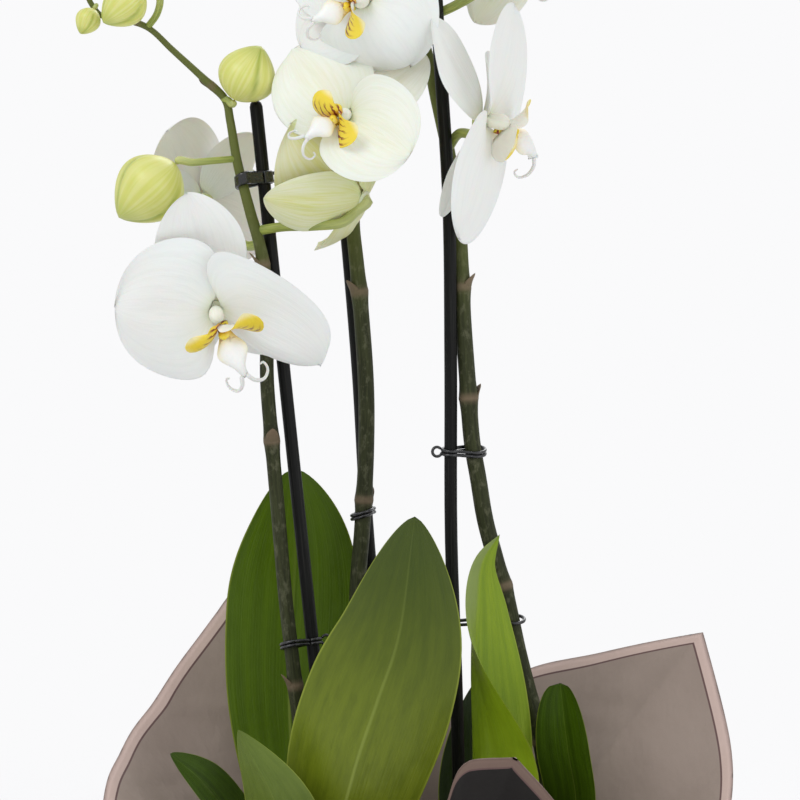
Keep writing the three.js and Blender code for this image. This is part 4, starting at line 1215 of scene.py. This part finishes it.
class ORCHID_OT_leaves(bpy.types.Operator):
    """Model the eight strap leaves"""
    bl_idname = "orchid.leaves"
    bl_label = "Leaves"

    def execute(self, context):
        tones = colours()
        plain = leaf_finish("leaf_mid", tones.leaf, tones.leaf_dark, tones.leaf_under)
        chosen = {}
        for name, (upper, dark, under, shaded, leaves) in LEAF_FINISHES.items():
            finish = leaf_finish(name, shade(*upper), shade(*dark), shade(*under), shaded)
            chosen.update(dict.fromkeys(leaves, finish))
        for seed, (name, leaf) in enumerate(LEAVES.items()):
            shape = new_shape()
            leaf_shape(shape, seed, *leaf)
            settle(shape, name.replace("leaf_", "strap_"), "leaf", [chosen.get(name, plain)], name)
        return {"FINISHED"}


class ORCHID_OT_spikes(bpy.types.Operator):
    """Model the three flower spikes with their joints, bracts and stalks"""
    bl_idname = "orchid.spikes"
    bl_label = "Flower spikes"

    def execute(self, context):
        finishes = [stem_finish(), stalk_finish()]
        for key in SPIKES:
            shape = new_shape()
            spike_shape(shape, key)
            for name, points in FLOWER_STALKS.items():
                if name[0] == key:
                    matrix = facing(FLOWERS[name])
                    stalk_shape(shape, points, matrix @ Vector((0, 0, -1.6)), matrix.col[2].xyz, 2.2, 2.8)
            for name, points in BUD_STALKS.items():
                if name[0] == key:
                    base, way, _, width = BUDS[name]
                    thin = min(1.6, width / 12)
                    stalk_shape(shape, points, base, way, thin, 1.25 * thin)
            settle(shape, f"flower_spike_{key}", "stem", finishes, f"spike_{key}")
        return {"FINISHED"}


class ORCHID_OT_stakes(bpy.types.Operator):
    """Model the three stakes"""
    bl_idname = "orchid.stakes"
    bl_label = "Stakes"

    def execute(self, context):
        finish = stake_finish()
        for key, points in STAKES.items():
            shape = new_shape()
            rod(shape, Path(points), lambda share, turn: STAKE_R * (1 + 0.012 * math.sin(5 * turn)), 24, 60)
            settle(shape, f"support_{key}", "stake", [finish], f"stake_{key}")
        return {"FINISHED"}


class ORCHID_OT_clips(bpy.types.Operator):
    """Bend the wire clips that tie the spikes to the stakes"""
    bl_idname = "orchid.clips"
    bl_label = "Clips"

    def execute(self, context):
        finish = clip_finish()
        for name, (key, height, turns) in CLIPS.items():
            shape = new_shape()
            points, base = SPIKES[key]
            spike = Path(points)
            radius = spike_radius(base, spike.share_at(height))
            clip_shape(shape, Path(STAKES[key]), spike, height, radius, turns)
            settle(shape, name.replace("clip", "wire"), "clip", [finish], name)
        return {"FINISHED"}


class ORCHID_OT_buds(bpy.types.Operator):
    """Model the closed buds"""
    bl_idname = "orchid.buds"
    bl_label = "Buds"

    def execute(self, context):
        finish = bud_finish()
        for seed, (name, bud) in enumerate(BUDS.items()):
            shape = new_shape()
            bud_shape(shape, 0.9 * seed, *bud)
            settle(shape, f"closed_bud_{name}", "bud", [finish], f"bud_{name}")
        return {"FINISHED"}


class ORCHID_OT_flowers(bpy.types.Operator):
    """Model each flower as sepals, petals with the column, and lip"""
    bl_idname = "orchid.flowers"
    bl_label = "Flowers"

    def execute(self, context):
        white, lobe, tongue = petal_finish(), lobe_finish(), tongue_finish()
        whorls = (("sepals", SEPALS, sepal_outline, 1), ("petals", PETALS, petal_outline, 0))
        for seed, (name, flower) in enumerate(FLOWERS.items()):
            matrix = facing(flower)
            grown, flush = flower.get("grown", 1), flower.get("flush", 0)
            for whorl, usual, outline, behind in whorls:
                shape = new_shape()
                for k, (angle, reach, width, slopes, *rest) in enumerate(flower.get(whorl, usual)):
                    slopes = flower.get("open", slopes)
                    tepal(shape, 40 * seed + 7 * k + behind, outline, behind, flush, angle, reach, width,
                          slopes, *rest)
                if behind:
                    ball(shape, (0, 0, -1.5), (3.6, 3.6, 1.1), tint=0.6)
                else:
                    column_shape(shape, grown)
                bmesh.ops.transform(shape, matrix=matrix, verts=shape.verts)
                settle(shape, f"{whorl}_{name}", "petal", [white], f"flower_{name}_{whorl}")
            shape = new_shape()
            lip_shape(shape, flower.get("lip", grown))
            turned = Matrix.Rotation(math.radians(flower.get("lip_turn", 0)), 4, "Z")
            bmesh.ops.transform(shape, matrix=matrix @ turned, verts=shape.verts)
            settle(shape, f"lip_{name}", "lip", [lobe, tongue, white], f"flower_{name}_lip")
        return {"FINISHED"}


class ORCHID_OT_stage(bpy.types.Operator):
    """Set up the floor, the lights and the camera"""
    bl_idname = "orchid.stage"
    bl_label = "Stage"

    def execute(self, context):
        context.scene.view_settings.view_transform = "Standard"
        stage_floor()
        stage_world()
        stage_lamps()
        stage_camera()
        return {"FINISHED"}


class ORCHID_PT_pieces(bpy.types.Panel):
    """The orchid's pieces, sizes and colours"""
    bl_idname = "ORCHID_PT_pieces"
    bl_label = "Potted orchid"
    bl_space_type = "VIEW_3D"
    bl_region_type = "UI"
    bl_category = "Orchid"

    def draw(self, context):
        for operator in OPERATORS:
            self.layout.operator(operator.bl_idname)
        for group in (colours(), sizes()):
            for name in group.bl_rna.properties.keys():
                if name not in ("rna_type", "name"):
                    self.layout.prop(group, name)


OPERATORS = (
    ORCHID_OT_wrap, ORCHID_OT_pot, ORCHID_OT_medium, ORCHID_OT_crowns, ORCHID_OT_leaves, ORCHID_OT_spikes,
    ORCHID_OT_stakes, ORCHID_OT_clips, ORCHID_OT_buds, ORCHID_OT_flowers, ORCHID_OT_stage,
)
CLASSES = (OrchidColours, OrchidSizes, *OPERATORS, ORCHID_PT_pieces)


def register():
    for one in CLASSES:
        bpy.utils.register_class(one)
    bpy.types.Scene.orchid_colours = bpy.props.PointerProperty(type=OrchidColours)
    bpy.types.Scene.orchid_sizes = bpy.props.PointerProperty(type=OrchidSizes)


def unregister():
    del bpy.types.Scene.orchid_sizes
    del bpy.types.Scene.orchid_colours
    for one in reversed(CLASSES):
        bpy.utils.unregister_class(one)


def main():
    register()
    for name in (
        "wrap", "pot", "medium", "crowns", "leaves", "spikes", "stakes", "clips", "buds", "flowers", "stage",
    ):
        getattr(bpy.ops.orchid, name)()


if __name__ == "__main__":
    main()
